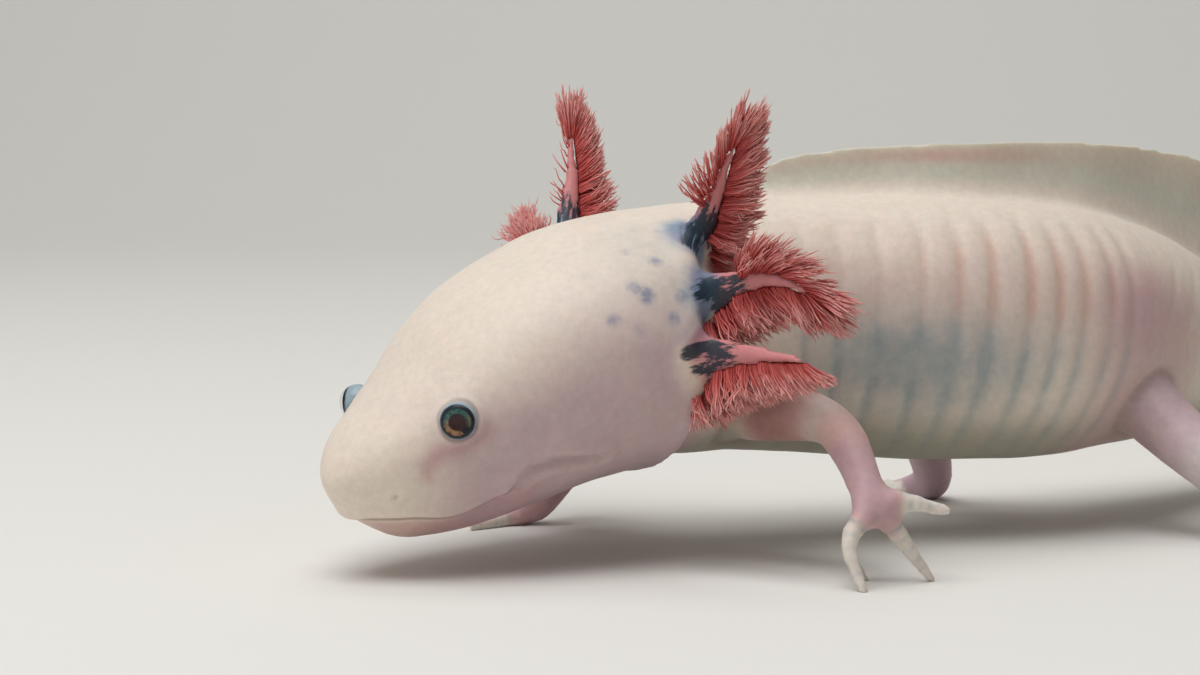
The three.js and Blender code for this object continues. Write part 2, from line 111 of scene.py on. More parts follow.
# Limbs: a root by the spine (s, left, up), bones (heading, rise, length), the girth at the joints and how
# slim it is between them. A digit is its shift from the palm, its bones and girth. A fan of digits is its
# heading, its spread and their lengths.
Limb = namedtuple("Limb", "root bones girth fan digits slim", defaults=(None, None, 1))
LIMBS = {
    "foreleg_left": Limb((49, 7, -9.5), [(-46, -2, 14.2), (-69, -33, 10.2), (-68, -46, 2.4)],
                         [3.5, 2.7, 2.25, 2.1], slim=0.82, digits=[
        ((0.6, 0, 0.6), [(4, 2, 1.6), (5, -11, 5.9)], 0.85), ((0.4, 0, 0), [(20, -52, 10.4)], 0.85),
        ((-0.3, -0.3, -0.2), [(225, -40, 4.6), (-47, -66, 5.6)], 0.85),
        ((-0.3, 0.3, -0.2), [(150, -60, 4.6), (30, -62, 5)], 0.7)]),
    "foreleg_right": Limb((49, -7, -9.5), [(138, -22, 13.6), (185, -52, 10.2), (182, -38, 2.6)],
                          [3.5, 2.7, 2.25, 2], (176, 96, [5.6, 7.8, 8, 6])),
    "hindleg_left": Limb((97.5, 6, -6), [(-45, -34, 17), (-14, -35, 9.6), (-24, -14, 3.4)],
                         [4.2, 2.9, 2.3, 2.1], (-30, 120, [4.4, 6.6, 7.8, 7.4, 5.4])),
    "hindleg_right": Limb((99, -6, -6), [(150, -24, 15.5), (82, -56, 10), (120, -18, 3.4)],
                          [4.2, 2.9, 2.3, 2.1], (140, 120, [5.4, 7.4, 7.8, 6.6, 4.4])),
}
DIGIT_GIRTH = 0.8
RAISED_SHARE, FLAT_SHARE = 0.6, 0.7  # of a fanned digit's length: down from the palm, and flat on the floor
# A digit's girth along it: it flares into the palm, and swells a little at its joints.
DIGIT = [(0, 2.0), (0.16, 1.55), (0.34, 1.28), (0.44, 1.17), (0.54, 1.2), (0.66, 1.04), (0.78, 1.02),
         (1, 0.74)]
DIGIT_RINGS = (0.3, 0.44, 0.58, 0.72, 0.84)
TIP_THINNED = 0.3
SOLE_HEIGHT = 0.55

# Gills: the stalk's root and bones, its share of the stalks' breadth, the way in which its filaments hang,
# how far they reach along it, the length and share of those that stand up, how far they sweep towards the
# tip, in degrees, and the share of them at the tip.
Gill = namedtuple("Gill", "root bones breadth hang reach standing sweep at_tip")
GILLS = {
    "left_1": Gill((42.5, 9, 7.5), [(-50, 55, 6.5), (-50, 62, 4.6), (-45, 62, 4)], 0.9,
                   (15, -25), [(0, 3.4), (0.5, 4.2), (1, 3.9)], (3.3, 0.09), 78, 0.09),
    "left_2": Gill((40, 13, 3), [(-32, 26, 6), (-32, 9, 4.6), (-30, -20, 5.2)], 1.0,
                   (0, -75), [(0, 4.6), (0.5, 4.8), (1, 4.2)], (4.2, 0.28), 76, 0.06),
    "left_3": Gill((37.5, 14, -2.4), [(-40, 13, 5), (-40, 5, 4), (-38, -2, 6.4)], 1.02,
                   (0, -80), [(0, 5.2), (0.4, 4.6), (1, 3.2)], (3, 0), 56, 0),
    "right_1": Gill((41, -13, 6), [(90, 56, 6.5), (84, 62, 5.4), (96, 68, 6)], 0.9,
                    (5, -25), [(0, 3.6), (0.5, 4.2), (1, 3.8)], (2.2, 0.01), 76, 0.08),
    "right_2": Gill((40, -13, 3), [(112, 20, 6), (106, 26, 5), (100, 24, 4.4)], 1.0,
                    (20, -60), [(0, 4.6), (0.5, 4.8), (1, 4.2)], (4.2, 0.28), 76, 0.06),
    "right_3": Gill((37.5, -14, -2), [(112, 8, 5.4), (100, 0, 4), (90, -10, 5)], 1.0,
                    (20, -75), [(0, 5.2), (0.4, 4.6), (1, 3.2)], (3, 0), 56, 0),
}
STALK = [(0, 4), (0.12, 3.2), (0.25, 2.4), (0.42, 1.65), (0.62, 1.05), (0.85, 0.6), (1, 0.42)]
TUFTS = 24  # along each row of filaments
STRAND_STEPS, STRAND_AROUND = 12, 5
STANDING_FROM, STANDING_SPAN = 0.42, 0.57  # where along the stalk filaments stand up, as shares of it

# Folds and marks of the head, in its own directions (back, left, up) from the snout; both sides carry them.
NOSTRIL = [(4.1, 5.7, -2.6), (4.2, 5.8, -2.5)]
EYE_GROOVE = [(13.8, 11.4, 0.6), (11.4, 10.6, 0.2), (8.9, 9.1, 0.2), (7.6, 8.2, -0.6), (7.3, 8.0, -1.6)]
MOUTH_FOLD = [(15.4, 9.6, -6.3), (16.9, 11.3, -5.3), (19.5, 12.2, -5.6), (24.2, 12.6, -7.8)]
# A groove of the skin and the lip beside it, by distance from the groove's own line: how deep the groove is,
# its half width and where it lies, and then how high the lip is, its half width and where it lies.
Fold = namedtuple("Fold", "depth width at lip lip_width lip_at")
MOUTH_GROOVE, CORNER_GROOVE = Fold(0.32, 0.34, 0, 0.2, 0.8, 1), Fold(0.45, 0.55, 0, 0.28, 0.8, 1.3)
NOSTRIL_GROOVE, EYE_RIM = Fold(0.26, 0.26, 0, 0.05, 0.35, 0.7), Fold(0.2, 0.2, 1.9, 0.14, 0.36, 2.3)
LOWER_LIP_SETBACK, EYE_GROOVE_DEPTH, EYE_CREASE_DEPTH = 0.36, 0.16, 0.1
# The opening that the skin leaves for an eye: its radius, and how the skin rises round it.
EYE_OPENING, OPENING_HEIGHT, OPENING_SLOPE = 1.72, 0.35, 1.5
# Blue-grey spots behind the eyes: distance along the spine, left, up, and how dark each is.
HEAD_SPOTS = [(33.9, 15, 6, 1), (29.7, 15, 5.3, 0.7), (30.5, 10.8, 9.5, 0.5), (37.3, 15.8, 4.9, 0.8),
              (35.1, 10.7, 10, 0.5), (36.7, 13.1, 8.7, 0.7), (26.9, 11.2, 8.8, 0.35), (31.7, 15.9, 3.4, 0.55),
              (35.4, 16.3, 3.1, 0.8), (33.2, 14, 7.4, 0.6)]
COSTAL_GROOVES = [57, 61.4, 66, 70.8, 74.4, 77.5, 81.1, 84, 86.7, 89.7, 92.2]
SHOULDER_END, SHOULDER_GROOVE_DEPTH, COSTAL_DEPTH, COSTAL_SLANT = 63, 0.2, 0.3, 0.05
TAIL_CHEVRONS = np.arange(97, 205, 4.6)
CHEVRON_DEPTH, CHEVRON_SLANT = 0.18, 0.45
LIMB_ROOT_DEPTH, FIN_ROOT_DEPTH = 0.25, 0.12
SWELL_HEIGHT, SWELL_SIZE = 0.07, 3.5  # of the skin's slight unevenness
# The rear edge of the cheeks: how far back it lies, by height on the side (from -1, throat, to 1, nape).
CHEEK_LINE = [(-1, 35), (-0.6, 36.4), (-0.1, 38.4), (0.35, 41), (0.75, 43.2), (1, 44.4)]
CHEEK_STEP = [(-9, 0), (-4, 0.2), (-1.3, 0.8), (-0.3, 0.8), (0.5, -0.8), (2, -1.3), (5, -0.9), (9, -0.2),
              (12, 0)]
CHEEK_SCALLOPS = (0.13, 0.56)

UP = np.array([0.0, 0.0, 1.0])


# ---- shapes of the animal, in mm
def smooth_run(rows, column=1):
    """A smooth run through the rows of a table, which never overshoots between two rows."""
    at, value = (np.array([row[i] for row in rows], float) for i in (0, column))
    slope = np.diff(value) / np.diff(at)
    before, after = slope[:-1], slope[1:]
    alike = before * after > 0
    total = np.where(alike, before + after, 1)
    tangent = np.concatenate([slope[:1], np.where(alike, 2 * before * after / total, 0), slope[-1:]])

    def run(where):
        x = np.clip(where, at[0], at[-1])
        i = np.clip(np.searchsorted(at, x, side="right") - 1, 0, len(at) - 2)
        width = at[i + 1] - at[i]
        t = (x - at[i]) / width
        rise = value[i + 1] - value[i]
        start, end = tangent[i] * width, tangent[i + 1] * width
        return value[i] + t * (start + t * (3 * rise - 2 * start - end + t * (start + end - 2 * rise)))

    return run


heading_at, rise_at = smooth_run(SPINE, 1), smooth_run(SPINE, 2)
half_width_at, height_at, depth_at = (smooth_run(SECTIONS, column) for column in (1, 2, 3))
squareness_at, mouth_height_at = smooth_run(SQUARENESS), smooth_run(MOUTH_LINE)
cheek_line_at, cheek_step_at = smooth_run(CHEEK_LINE), smooth_run(CHEEK_STEP)
stalk_at, digit_at = smooth_run(STALK), smooth_run(DIGIT)
# Each fin's rows, the run of its rim, the body's height under it, its side (1 back, -1 belly) and its rings.
FINS = [(BACK_FIN, smooth_run(BACK_FIN), height_at, 1, 220),
        (BELLY_FIN, smooth_run(BELLY_FIN), depth_at, -1, 120)]


def size_of(vectors):
    return np.linalg.norm(vectors, axis=-1)


def unit(vectors):
    return vectors / np.linalg.norm(vectors, axis=-1, keepdims=True)


def off_axis(points, centre, way):
    """How high points lie along an axis, and the rest of their way from its centre."""
    rel = points - centre
    height = rel @ way
    return height, rel - height[:, None] * way


def direction(heading, rise):
    """Unit vectors from a heading in the floor plane and a rise above it, in degrees."""
    h, r = np.radians(heading), np.radians(rise)
    return np.stack([np.cos(h) * np.cos(r), np.sin(h) * np.cos(r), np.sin(r) + 0 * h], axis=-1)


def between(where, marks, points):
    """Points read off a row of points at places between its marks."""
    return np.stack([np.interp(where, marks, points[:, axis]) for axis in range(3)], axis=-1)


HALFWAY = np.arange(LENGTH) + 0.5
SPINE_POINTS = np.vstack([SNOUT, SNOUT + np.cumsum(direction(heading_at(HALFWAY), rise_at(HALFWAY)), 0)])


def axes_at(s):
    """The animal's own axes at distances from the snout: centre, back, left and up."""
    s = np.asarray(s, float)
    back = direction(heading_at(s), rise_at(s))
    left = unit(np.cross(UP, -back))
    return between(s, np.arange(len(SPINE_POINTS)), SPINE_POINTS), back, left, np.cross(-back, left)


def placed(axes, back, left, up):
    """Points given in an axis set's own directions."""
    centre, *ways = axes
    reaches = (np.asarray(reach, float)[..., None] for reach in (back, left, up))
    return centre + sum(reach * way for reach, way in zip(reaches, ways))


HEAD_AXES = axes_at(0)


def eye_place(side_sign):
    """Centre of an eye, its way out of the head, and its gaze."""
    centre = placed(HEAD_AXES, EYE_BACK, side_sign * EYE_SIDE, EYE_UP)
    outward = unit(placed(HEAD_AXES, 0, side_sign * EYE_SIDE, EYE_UP) - HEAD_AXES[0])
    return centre, outward, math.cos(GAZE_FORWARD) * outward - math.sin(GAZE_FORWARD) * HEAD_AXES[1]


EYES = {"left": eye_place(1), "right": eye_place(-1)}


def bent(value, power):
    """A number with its sign kept and its size raised to a power."""
    return np.sign(value) * np.abs(value) ** power


def folded(distance, fold):
    """How far a groove and the lip beside it raise the skin, at distances from the groove's own line."""
    lip = fold.lip * near(distance - fold.lip_at, fold.lip_width)
    return lip - fold.depth * near(distance - fold.at, fold.width)


def opening(distance, round_off):
    """How far a rounded end has opened, from 0 at the tip to 1 where its rounding ends."""
    return np.sqrt(np.clip(1 - (1 - np.minimum(1, distance / round_off)) ** 2, 0, 1))


def ramp(value, start, end):
    """A soft step from 0 at start to 1 at end."""
    t = np.clip((value - start) / (end - start), 0, 1)
    return t * t * (3 - 2 * t)


def near(value, width):
    """A soft bump of that half width round 0."""
    return np.exp(-((value / width) ** 2))


ROUND_STATIONS = SNOUT_ROUND * (1 - np.cos(np.arange(12) * np.pi / 24))
STATIONS = np.concatenate([ROUND_STATIONS, np.arange(SNOUT_ROUND, LENGTH, BODY_STEP), [LENGTH]])


def body_form(share, turn):
    """The body's surface, by share of the way along the stations and turn from left over the back."""
    s = STATIONS[np.round(share * (len(STATIONS) - 1)).astype(int)]
    open_share = opening(s, SNOUT_ROUND)
    squareness = squareness_at(s)
    upright = np.sin(turn)
    side, rise = bent(np.cos(turn), squareness), bent(upright, squareness)
    scallops = sum(near(upright - middle, 0.13) for middle in CHEEK_SCALLOPS)
    step = cheek_step_at(s - cheek_line_at(upright) + 1.1 * scallops)
    step = step * ramp(upright, 0.95, 0.7) * (1 - 0.3 * ramp(upright, -0.3, -0.9))
    height = np.where(rise > 0, height_at(s) * open_share, depth_at(s) * open_share**0.85)
    width = half_width_at(s) * open_share
    ended = np.where(s < LENGTH, 1, 0)
    points = placed(axes_at(s), 0 * s, side * (width + step) * ended, rise * (height + step) * ended)
    for centre, outward, _ in EYES.values():
        swell = EYE_SWELLING_RISE * near(size_of(points - centre), EYE_SWELLING_REACH)
        points = points + swell[:, None] * outward
    return points


def fin_ripple(rows, s, out):
    """How far a fin sways to the left at a share of the way out to its rim."""
    return 0.5 * out**2 * np.sin(0.33 * s) * ramp(s, rows[0][0], rows[0][0] + 40)


def fin_form(rows, rim_at, skin_at, side):
    """A fin along the back or belly, as a blade that sways towards its rim."""
    first, last = rows[0][0], rows[-1][0]

    def place(share, turn):
        s = first + (last - first) * share
        skin = skin_at(s)
        inner, outer = np.maximum(skin - FIN_DEPTH, 0), skin + rim_at(s) * (1 + 0.015 * np.sin(0.5 * s))
        amid = (share > 0) & (share < 1)
        out = np.where(amid, (1 + bent(np.sin(turn), 0.8)) / 2, 0.5)
        thickness = FIN_ROOT + (FIN_RIM_CAST - FIN_ROOT) * out
        across = side * bent(np.cos(turn), 0.6) * thickness / 2 * amid + fin_ripple(rows, s, out)
        height = side * (inner + (outer - inner) * out)
        return placed(axes_at(np.minimum(s, LENGTH)), np.maximum(0, s - LENGTH), across, height)

    return place


def smooth_path(corners, count=80):
    """Even points along a centripetal Catmull-Rom curve through the corners."""
    corners = np.array(corners, float)
    padded = np.vstack([2 * corners[0] - corners[1], corners, 2 * corners[-1] - corners[-2]])
    t = np.linspace(0, 1, 40)[:, None]
    runs = []
    for a, b, c, d in zip(padded, padded[1:], padded[2:], padded[3:]):
        before, span, after = (np.sqrt(size_of(q - p)) for p, q in ((a, b), (b, c), (c, d)))
        start = span * ((b - a) / before - (c - a) / (before + span) + (c - b) / span)
        end = span * ((c - b) / span - (d - b) / (span + after) + (d - c) / after)
        runs.append(b + t * (start + t * (3 * (c - b) - 2 * start - end + t * (start + end - 2 * (c - b)))))
    line = np.vstack(runs)
    line = line[np.concatenate([[True], size_of(np.diff(line, axis=0)) > 1e-9])]
    along = np.concatenate([[0], np.cumsum(size_of(np.diff(line, axis=0)))])
    return between(np.linspace(0, along[-1], count), along, line)


def path_at(path, share):
    """Points and unit tangents at shares of a path's length."""
    marks = np.linspace(0, 1, len(path))
    return between(share, marks, path), unit(between(share, marks, unit(np.gradient(path, axis=0))))


def path_distance(points, path):
    """How far points lie from a path, and at which share of it they are nearest."""
    nearest, share = np.full(len(points), np.inf), np.zeros(len(points))
    for i, (start, end) in enumerate(zip(path, path[1:])):
        way = end - start
        t = np.clip((points - start) @ way / (way @ way), 0, 1)
        gap = size_of(points - start - t[:, None] * way)
        closer = gap < nearest
        nearest[closer] = gap[closer]
        share[closer] = (i + t[closer]) / (len(path) - 1)
    return nearest, share


def tube_form(path, girth_at, broad=UP, flat_at=np.ones_like):
    """A round-ended tube along a path; flat_at 1 is round, and "broad" is a flat one's wider way."""
    length = size_of(np.diff(path, axis=0)).sum()

    def place(share, turn):
        along = 0.5 - 0.5 * np.cos(np.pi * share)
        girth = girth_at(along)
        caps = opening(along * length, 0.8 * girth) * opening((1 - along) * length, 0.8 * girth)
        centre, tangent = path_at(path, along)
        wide = unit(broad - (tangent @ broad)[:, None] * tangent)
        across, through = girth * caps * np.cos(turn), girth * caps * np.sin(turn) * flat_at(along)
        return centre + wide * across[:, None] + np.cross(wide, tangent) * through[:, None]

    return place


def joints(root, bones):
    """The joints of a chain of bones, from its root outwards."""
    chain = [np.array(root, float)]
    for heading, rise, length in bones:
        chain.append(chain[-1] + direction(heading, rise) * length)
    return chain


def joints_of(part):
    """The joints of a limb or a gill, whose root is given on the body."""
    s, left, up = part.root
    return joints(placed(axes_at(s), 0, left, up), part.bones)


def fan_digits(palm, heading, spread, lengths):
    """Digits of a flat hand or foot: they fan out and come down to the floor."""
    for i, length in enumerate(lengths):
        turn = heading + spread * (i / (len(lengths) - 1) - 0.5)
        raised = length * RAISED_SHARE
        fall = math.degrees(math.asin((palm[2] - SOLE_HEIGHT) / raised))
        yield (0, 0, 0), [(turn, -fall, raised), (turn, 0, length * FLAT_SHARE)], DIGIT_GIRTH


def limb_paths(limb):
    """A limb's chain of joints, its smooth arm, its palm and its digits with their girths."""
    chain = joints_of(limb)
    elbow, wrist, palm = chain[1:]
    palm_path = smooth_path([wrist + 0.25 * (elbow - wrist), wrist, palm, palm + 0.7 * (palm - wrist)])
    digits = limb.digits or fan_digits(palm, *limb.fan)
    paths = [(smooth_path(joints(palm + np.array(shift), bones)), girth) for shift, bones, girth in digits]
    return chain, smooth_path(chain), palm_path, paths


LIMB_PATHS = {name: limb_paths(limb) for name, limb in LIMBS.items()}
GILL_PATHS = {name: smooth_path(joints_of(gill)) for name, gill in GILLS.items()}
GILL_ROOT = 10  # the point of a stalk's path where the stalk leaves the head


def spine_place(points):
    """Distance along the spine, left and up, of points from the nearest part of the spine."""
    stations = np.arange(0, LENGTH + 0.5, 0.5)
    centres = axes_at(stations)[0]
    sizes = (centres**2).sum(1)
    blocks = (points[i:i + 20000] for i in range(0, len(points), 20000))
    s = stations[np.concatenate([np.argmin(sizes - 2 * block @ centres.T, 1) for block in blocks])]
    for _ in range(3):
        centre, back, left, up = axes_at(s)
        s = np.clip(s + ((points - centre) * back).sum(1), 0, LENGTH)
    centre, back, left, up = axes_at(s)
    return s, ((points - centre) * left).sum(1), ((points - centre) * up).sum(1)


# ---- making meshes and materials
def linear(code):
    """Linear colour, with alpha 1, from an sRGB hex value."""
    channels = [int(code[i:i + 2], 16) / 255 for i in (1, 3, 5)]
    return tuple(c / 12.92 if c <= 0.04045 else ((c + 0.055) / 1.055) ** 2.4 for c in channels) + (1.0,)


def colour(name, description, code):
    return FloatVectorProperty(name=name, description=description, subtype="COLOR", size=4, min=0, max=1,
                               default=linear(code))


def length(name, description, millimetres):
    return FloatProperty(name=name, description=description, default=millimetres * MM, min=0, precision=5,
                         unit="LENGTH")


def power(name, description, watts):
    return FloatProperty(name=name, description=description, default=watts, unit="POWER")


def add_node(tree, kind, inputs=(), output=0, stops=(), **settings):
    """Adds a node and gives back one of its outputs; an input is a value or another node's output."""
    node = tree.nodes.new(kind)
    for name, value in settings.items():
        setattr(node, name, value)
    for name, value in inputs.items() if isinstance(inputs, dict) else enumerate(inputs):
        if isinstance(value, bpy.types.NodeSocket):
            tree.links.new(value, node.inputs[name])
        else:
            node.inputs[name].default_value = value
    for i, (place, shade) in enumerate(stops):
        elements = node.color_ramp.elements
        stop = elements[i] if i < len(elements) else elements.new(place)
        stop.position, stop.color = place, shade
    return node.outputs[output] if node.outputs else None


def new_material(name):
    """An empty node material, and the add-node helper of its tree."""
    material = bpy.data.materials.new(name)
    material.use_nodes = True
    material.node_tree.nodes.clear()
    return material, partial(add_node, material.node_tree)


def mottling(node, where, size, detail, roughness):
    """Noise whose spots have a size in mm."""
    return node("ShaderNodeTexNoise", {
        "Vector": where, "Scale": 1 / (size * MM), "Detail": detail, "Roughness": roughness})


def spread(node, value, start, end, low=0, high=1, kind="LINEAR"):
    """A number between two others, spread between two new ones."""
    return node("ShaderNodeMapRange", {
        "Value": value, "From Min": start, "From Max": end, "To Min": low, "To Max": high},
        interpolation_type=kind)


def blend(node, share, under, over, **settings):
    """One colour laid over another."""
    return node("ShaderNodeMix", {0: share, 6: under, 7: over}, 2, data_type="RGBA", **settings)


def new_ball(rings, around):
    """A closed ball as a bmesh, with each vertex's share of the way from pole to pole and its turn."""
    shape = bmesh.new()
    bmesh.ops.create_uvsphere(shape, u_segments=around, v_segments=rings, radius=1)
    ball = np.array([vertex.co for vertex in shape.verts])
    share = np.round(np.arccos(np.clip(ball[:, 2], -1, 1)) / np.pi * rings) / rings
    return shape, share, np.arctan2(ball[:, 1], ball[:, 0])


def add_form(whole, rings, around, place):
    """Adds a closed form to a bmesh: a ball whose points go to place(share, turn)."""
    shape, share, turn = new_ball(rings, around)
    for vertex, point in zip(shape.verts, place(share, turn) * MM):
        vertex.co = point
    form = bpy.data.meshes.new("form")
    shape.to_mesh(form)
    shape.free()
    whole.from_mesh(form)
    bpy.data.meshes.remove(form)


def new_piece(name, shape):
    """The object of a finished bmesh, with its faces turned outwards."""
    bmesh.ops.recalc_face_normals(shape, faces=shape.faces)
    mesh = bpy.data.meshes.new(name)
    shape.to_mesh(mesh)
    shape.free()
    piece = bpy.data.objects.new(name, mesh)
    bpy.context.scene.collection.objects.link(piece)
    return piece


def settle(piece):
    """Makes a piece's modifiers part of its mesh."""
    unsettled = piece.data
    mesh = bpy.data.meshes.new_from_object(piece.evaluated_get(bpy.context.evaluated_depsgraph_get()))
    piece.modifiers.clear()
    piece.data = mesh
    bpy.data.meshes.remove(unsettled)


def vertex_values(mesh, what="co"):
    """The vertices' places in mm, or their normals."""
    values = np.empty(len(mesh.vertices) * 3)
    mesh.vertices.foreach_get(what, values)
    return values.reshape(-1, 3) / (MM if what == "co" else 1)


def move_vertices(mesh, points):
    mesh.vertices.foreach_set("co", (points * MM).ravel())
    mesh.update()


def paint(mesh, masks):
    """Stores numbers for each vertex, for the material to read."""
    for name, values in masks.items():
        attribute = mesh.attributes.new(name, "FLOAT", "POINT")
        attribute.data.foreach_set("value", np.clip(values, 0, 1).astype(np.float32))


def weigh(piece, name, weights):
    """A vertex group from a number for each vertex, in eight steps."""
    group = piece.vertex_groups.new(name=name)
    levels = np.round(np.clip(weights, 0, 1) * 8).astype(int)
    for level in range(1, 9):
        group.add(np.flatnonzero(levels == level).tolist(), level / 8, "REPLACE")


def surface(piece, material):
    """Shades a piece smoothly and gives it its material."""
    piece.data.materials.clear()
    piece.data.materials.append(material)
    piece.data.polygons.foreach_set("use_smooth", [True] * len(piece.data.polygons))


def finish_piece(piece, material, nodes=()):
    """Gives a piece its material and hangs it in the frame."""
    surface(piece, material)
    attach(piece, "root")
    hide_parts(*nodes)


# ---- the skin
def add_limb(shape, name):
    chain, arm, palm, digits = LIMB_PATHS[name]
    girths, slim = LIMBS[name].girth, LIMBS[name].slim
    along = np.concatenate([[0], np.cumsum([size_of(b - a) for a, b in zip(chain, chain[1:])])])
    girth_at = smooth_run(list(zip(along / along[-1], girths)))

    def muscled(share):
        swell = 1 + 0.1 * near(share - 0.3, 0.14) + 0.08 * near(share - 0.66, 0.1)
        return girth_at(share) * swell * (1 - (1 - slim) * ramp(share, 0.25, 0.6))

    add_form(shape, 60, 36, tube_form(arm, muscled))
    sideways = unit(np.cross(UP, palm[-1] - palm[0]))
    hand = lambda share: girths[3] * (0.92 + 0.3 * near(share - 0.7, 0.25))
    flatness = lambda share: 0.95 - 0.35 * ramp(share, 0.1, 0.6)
    add_form(shape, 40, 32, tube_form(palm, hand, sideways, flatness))
    for path, girth in digits:
        add_form(shape, 40, 16, tube_form(path, lambda share: girth * digit_at(share)))


def skin_shape():
    """The animal's flesh as closed forms that run into each other."""
    shape = bmesh.new()
    add_form(shape, len(STATIONS) - 1, 120, body_form)
    for *fin, rings in FINS:
        add_form(shape, rings, 28, fin_form(*fin))
    for name in LIMBS:
        add_limb(shape, name)
    for name, gill in GILLS.items():
        girth_at = lambda share: gill.breadth * stalk_at(share)
        flat_at = lambda share: 0.4 + 0.55 * ramp(share, 0.25, 1)
        add_form(shape, 44, 28, tube_form(GILL_PATHS[name], girth_at, direction(*gill.hang), flat_at))
    return shape


class Places:
    """Where each vertex of the skin lies on the animal, in mm and in shares of its parts."""

    def __init__(self, points, normals):
        self.points = points
        self.s, self.left, self.up = spine_place(points)
        self.angle = np.degrees(np.arctan2(self.up, np.abs(self.left)))
        self.head = (points - HEAD_AXES[0]) @ np.array(HEAD_AXES[1:]).T
        self.head[:, 1] = np.abs(self.head[:, 1])
        self.back = self.head[:, 0]
        # Height above the mouth line, measured over the surface, which runs nearly level under the snout.
        level = np.clip(normals @ HEAD_AXES[3], -1, 1) ** 2
        above = self.head[:, 2] - mouth_height_at(self.back)
        self.above_mouth = above / np.sqrt(np.maximum(1 - level, 0.12))
        for name in ("fin", "limb", "limb_root", "elbow", "hand", "digit", "foreleg", "upper_arm", "on_stalk",
                     "stalk", "stalk_front", "stalk_number", "stalk_root"):
            setattr(self, name, np.zeros(len(points)))
        for _, rim, _, above in over_fins(self.s, self.up):
            share = np.clip(above / np.maximum(rim, 0.5), 0, 1)
            self.raise_to(fin=share * (np.abs(self.left) < 2.6) * (rim > 0.4))
        self.to_bone = np.zeros((len(points), 3))
        for name in LIMBS:
            self.find_limb(name)
        for number, name in enumerate(GILLS):
            self.find_stalk(number, name)
        self.body = 1 - np.clip(self.limb + self.on_stalk + ramp(self.fin, 0, 0.3), 0, 1)

    def raise_to(self, **masks):
        """Raises masks to new values, where those are higher."""
        for name, values in masks.items():
            setattr(self, name, np.maximum(getattr(self, name), values))

    def find_limb(self, name):
        _, arm, palm, digits = LIMB_PATHS[name]
        gap, share = path_distance(self.points, arm[::4])
        gap = gap - np.interp(share, (0, 0.5, 0.95, 1), LIMBS[name].girth)
        on_arm = ramp(gap, 1.1, 0.3) * ramp(share, 0.06, 0.26)
        upper = on_arm * ramp(share, 0.56, 0.36)
        hand = ramp(path_distance(self.points, palm[::8])[0], 5.5, 2.2)
        own = np.maximum(on_arm, hand)
        self.raise_to(elbow=on_arm * near(share - 0.53, 0.09), hand=hand,
                      limb_root=near(gap - 0.7, 0.8) * ramp(share, 0.5, 0.3))
        for path, girth in digits:
            gap, share = path_distance(self.points, path[::8])
            on_digit = ramp(gap, 2.2 * girth, 1.4 * girth)
            nearer = share * on_digit > self.digit
            self.raise_to(digit=share * on_digit)
            self.to_bone[nearer] = (path_at(path, share)[0] - self.points)[nearer]
            own = np.maximum(own, on_digit)
        self.raise_to(limb=own)
        if name.startswith("foreleg"):
            self.raise_to(foreleg=own, upper_arm=upper)

    def find_stalk(self, number, name):
        path, gill = GILL_PATHS[name], GILLS[name]
        gap, share = path_distance(self.points, path[::3])
        girth = gill.breadth * stalk_at(share)
        on = ramp(gap - girth, 1.8, 0.4) * ramp(share, 0.03, 0.2)
        hang = (self.points - path_at(path, share)[0]) @ direction(*gill.hang) / girth
        nearer = on > self.on_stalk
        self.stalk = np.where(nearer, share, self.stalk)
        self.stalk_front = np.where(nearer, hang, self.stalk_front)
        self.stalk_number = np.where(nearer, number, self.stalk_number)
        self.raise_to(on_stalk=on, stalk_root=near(size_of(self.points - path[GILL_ROOT]) - 1, 3.2))

    def path_gap(self, path):
        """How far the vertices lie from a path on the head, on either side."""
        return path_distance(self.head, np.array(path, float))[0]

    def groove_gap(self, groove):
        """How far the vertices lie from a groove between two ribs, which leans a little back."""
        return self.s - groove - COSTAL_SLANT * self.up

    def eye_ring(self, side):
        """Distance from the axis of an eye, height along it, and how far towards the animal's crown."""
        centre, _, gaze = EYES[side]
        height, flat = off_axis(self.points, centre, gaze)
        ring = size_of(flat)
        return ring, height, flat @ HEAD_AXES[3] / np.maximum(ring, 1e-6)


def over_fins(s, up):
    """For each fin, its rows, its rim's height, its side, and the height of points above the body."""
    for rows, rim_at, skin_at, side, _ in FINS:
        yield rows, rim_at(s), side, side * up - skin_at(s)


def evened_rims(points):
    """The skin's points with the rims of the fins drawn out to an even height, where the cells left steps."""
    s, left, up = spine_place(points)
    up_way = axes_at(s)[3]
    slot = (s / RIM_SLOT).astype(int)
    middles = RIM_SLOT * (np.arange(slot.max() + 1) + 0.5)
    for _, rim, side, above in over_fins(s, up):
        rim = np.maximum(rim, 1)
        on_fin = (rim > 1) & (above > 0.4 * rim) & (np.abs(left) < 3)
        tallest = np.zeros(len(middles))
        np.maximum.at(tallest, slot[on_fin], above[on_fin])
        known = tallest > 0
        stretch = np.clip(rim / np.interp(s, middles[known], tallest[known]), 0.75, 1.25) - 1
        points = points + (side * above * stretch * ramp(above / rim, 0.4, 0.8) * on_fin)[:, None] * up_way
    return points


def junction_weights(points):
    """Where limbs, gills and fins run into the body, and the skin is smoothed over them."""
    weights = np.zeros(len(points))
    spots = [(path[GILL_ROOT], 3.6) for path in GILL_PATHS.values()]
    for chain, *_ in LIMB_PATHS.values():
        spots += [(chain[0] + 0.42 * (chain[1] - chain[0]), 5.6), (chain[3], 2.4)]
    for centre, reach in spots:
        weights = np.maximum(weights, near(size_of(points - centre), reach))
    s, left, up = spine_place(points)
    for _, rim, _, above in over_fins(s, up):
        seam = near(above + 0.4, 1.6) * ramp(np.abs(left), 5, 3) * (rim > 0.1)
        weights = np.maximum(weights, np.maximum(seam, near(above - rim, 1.2) * (rim > 1)))
    return weights


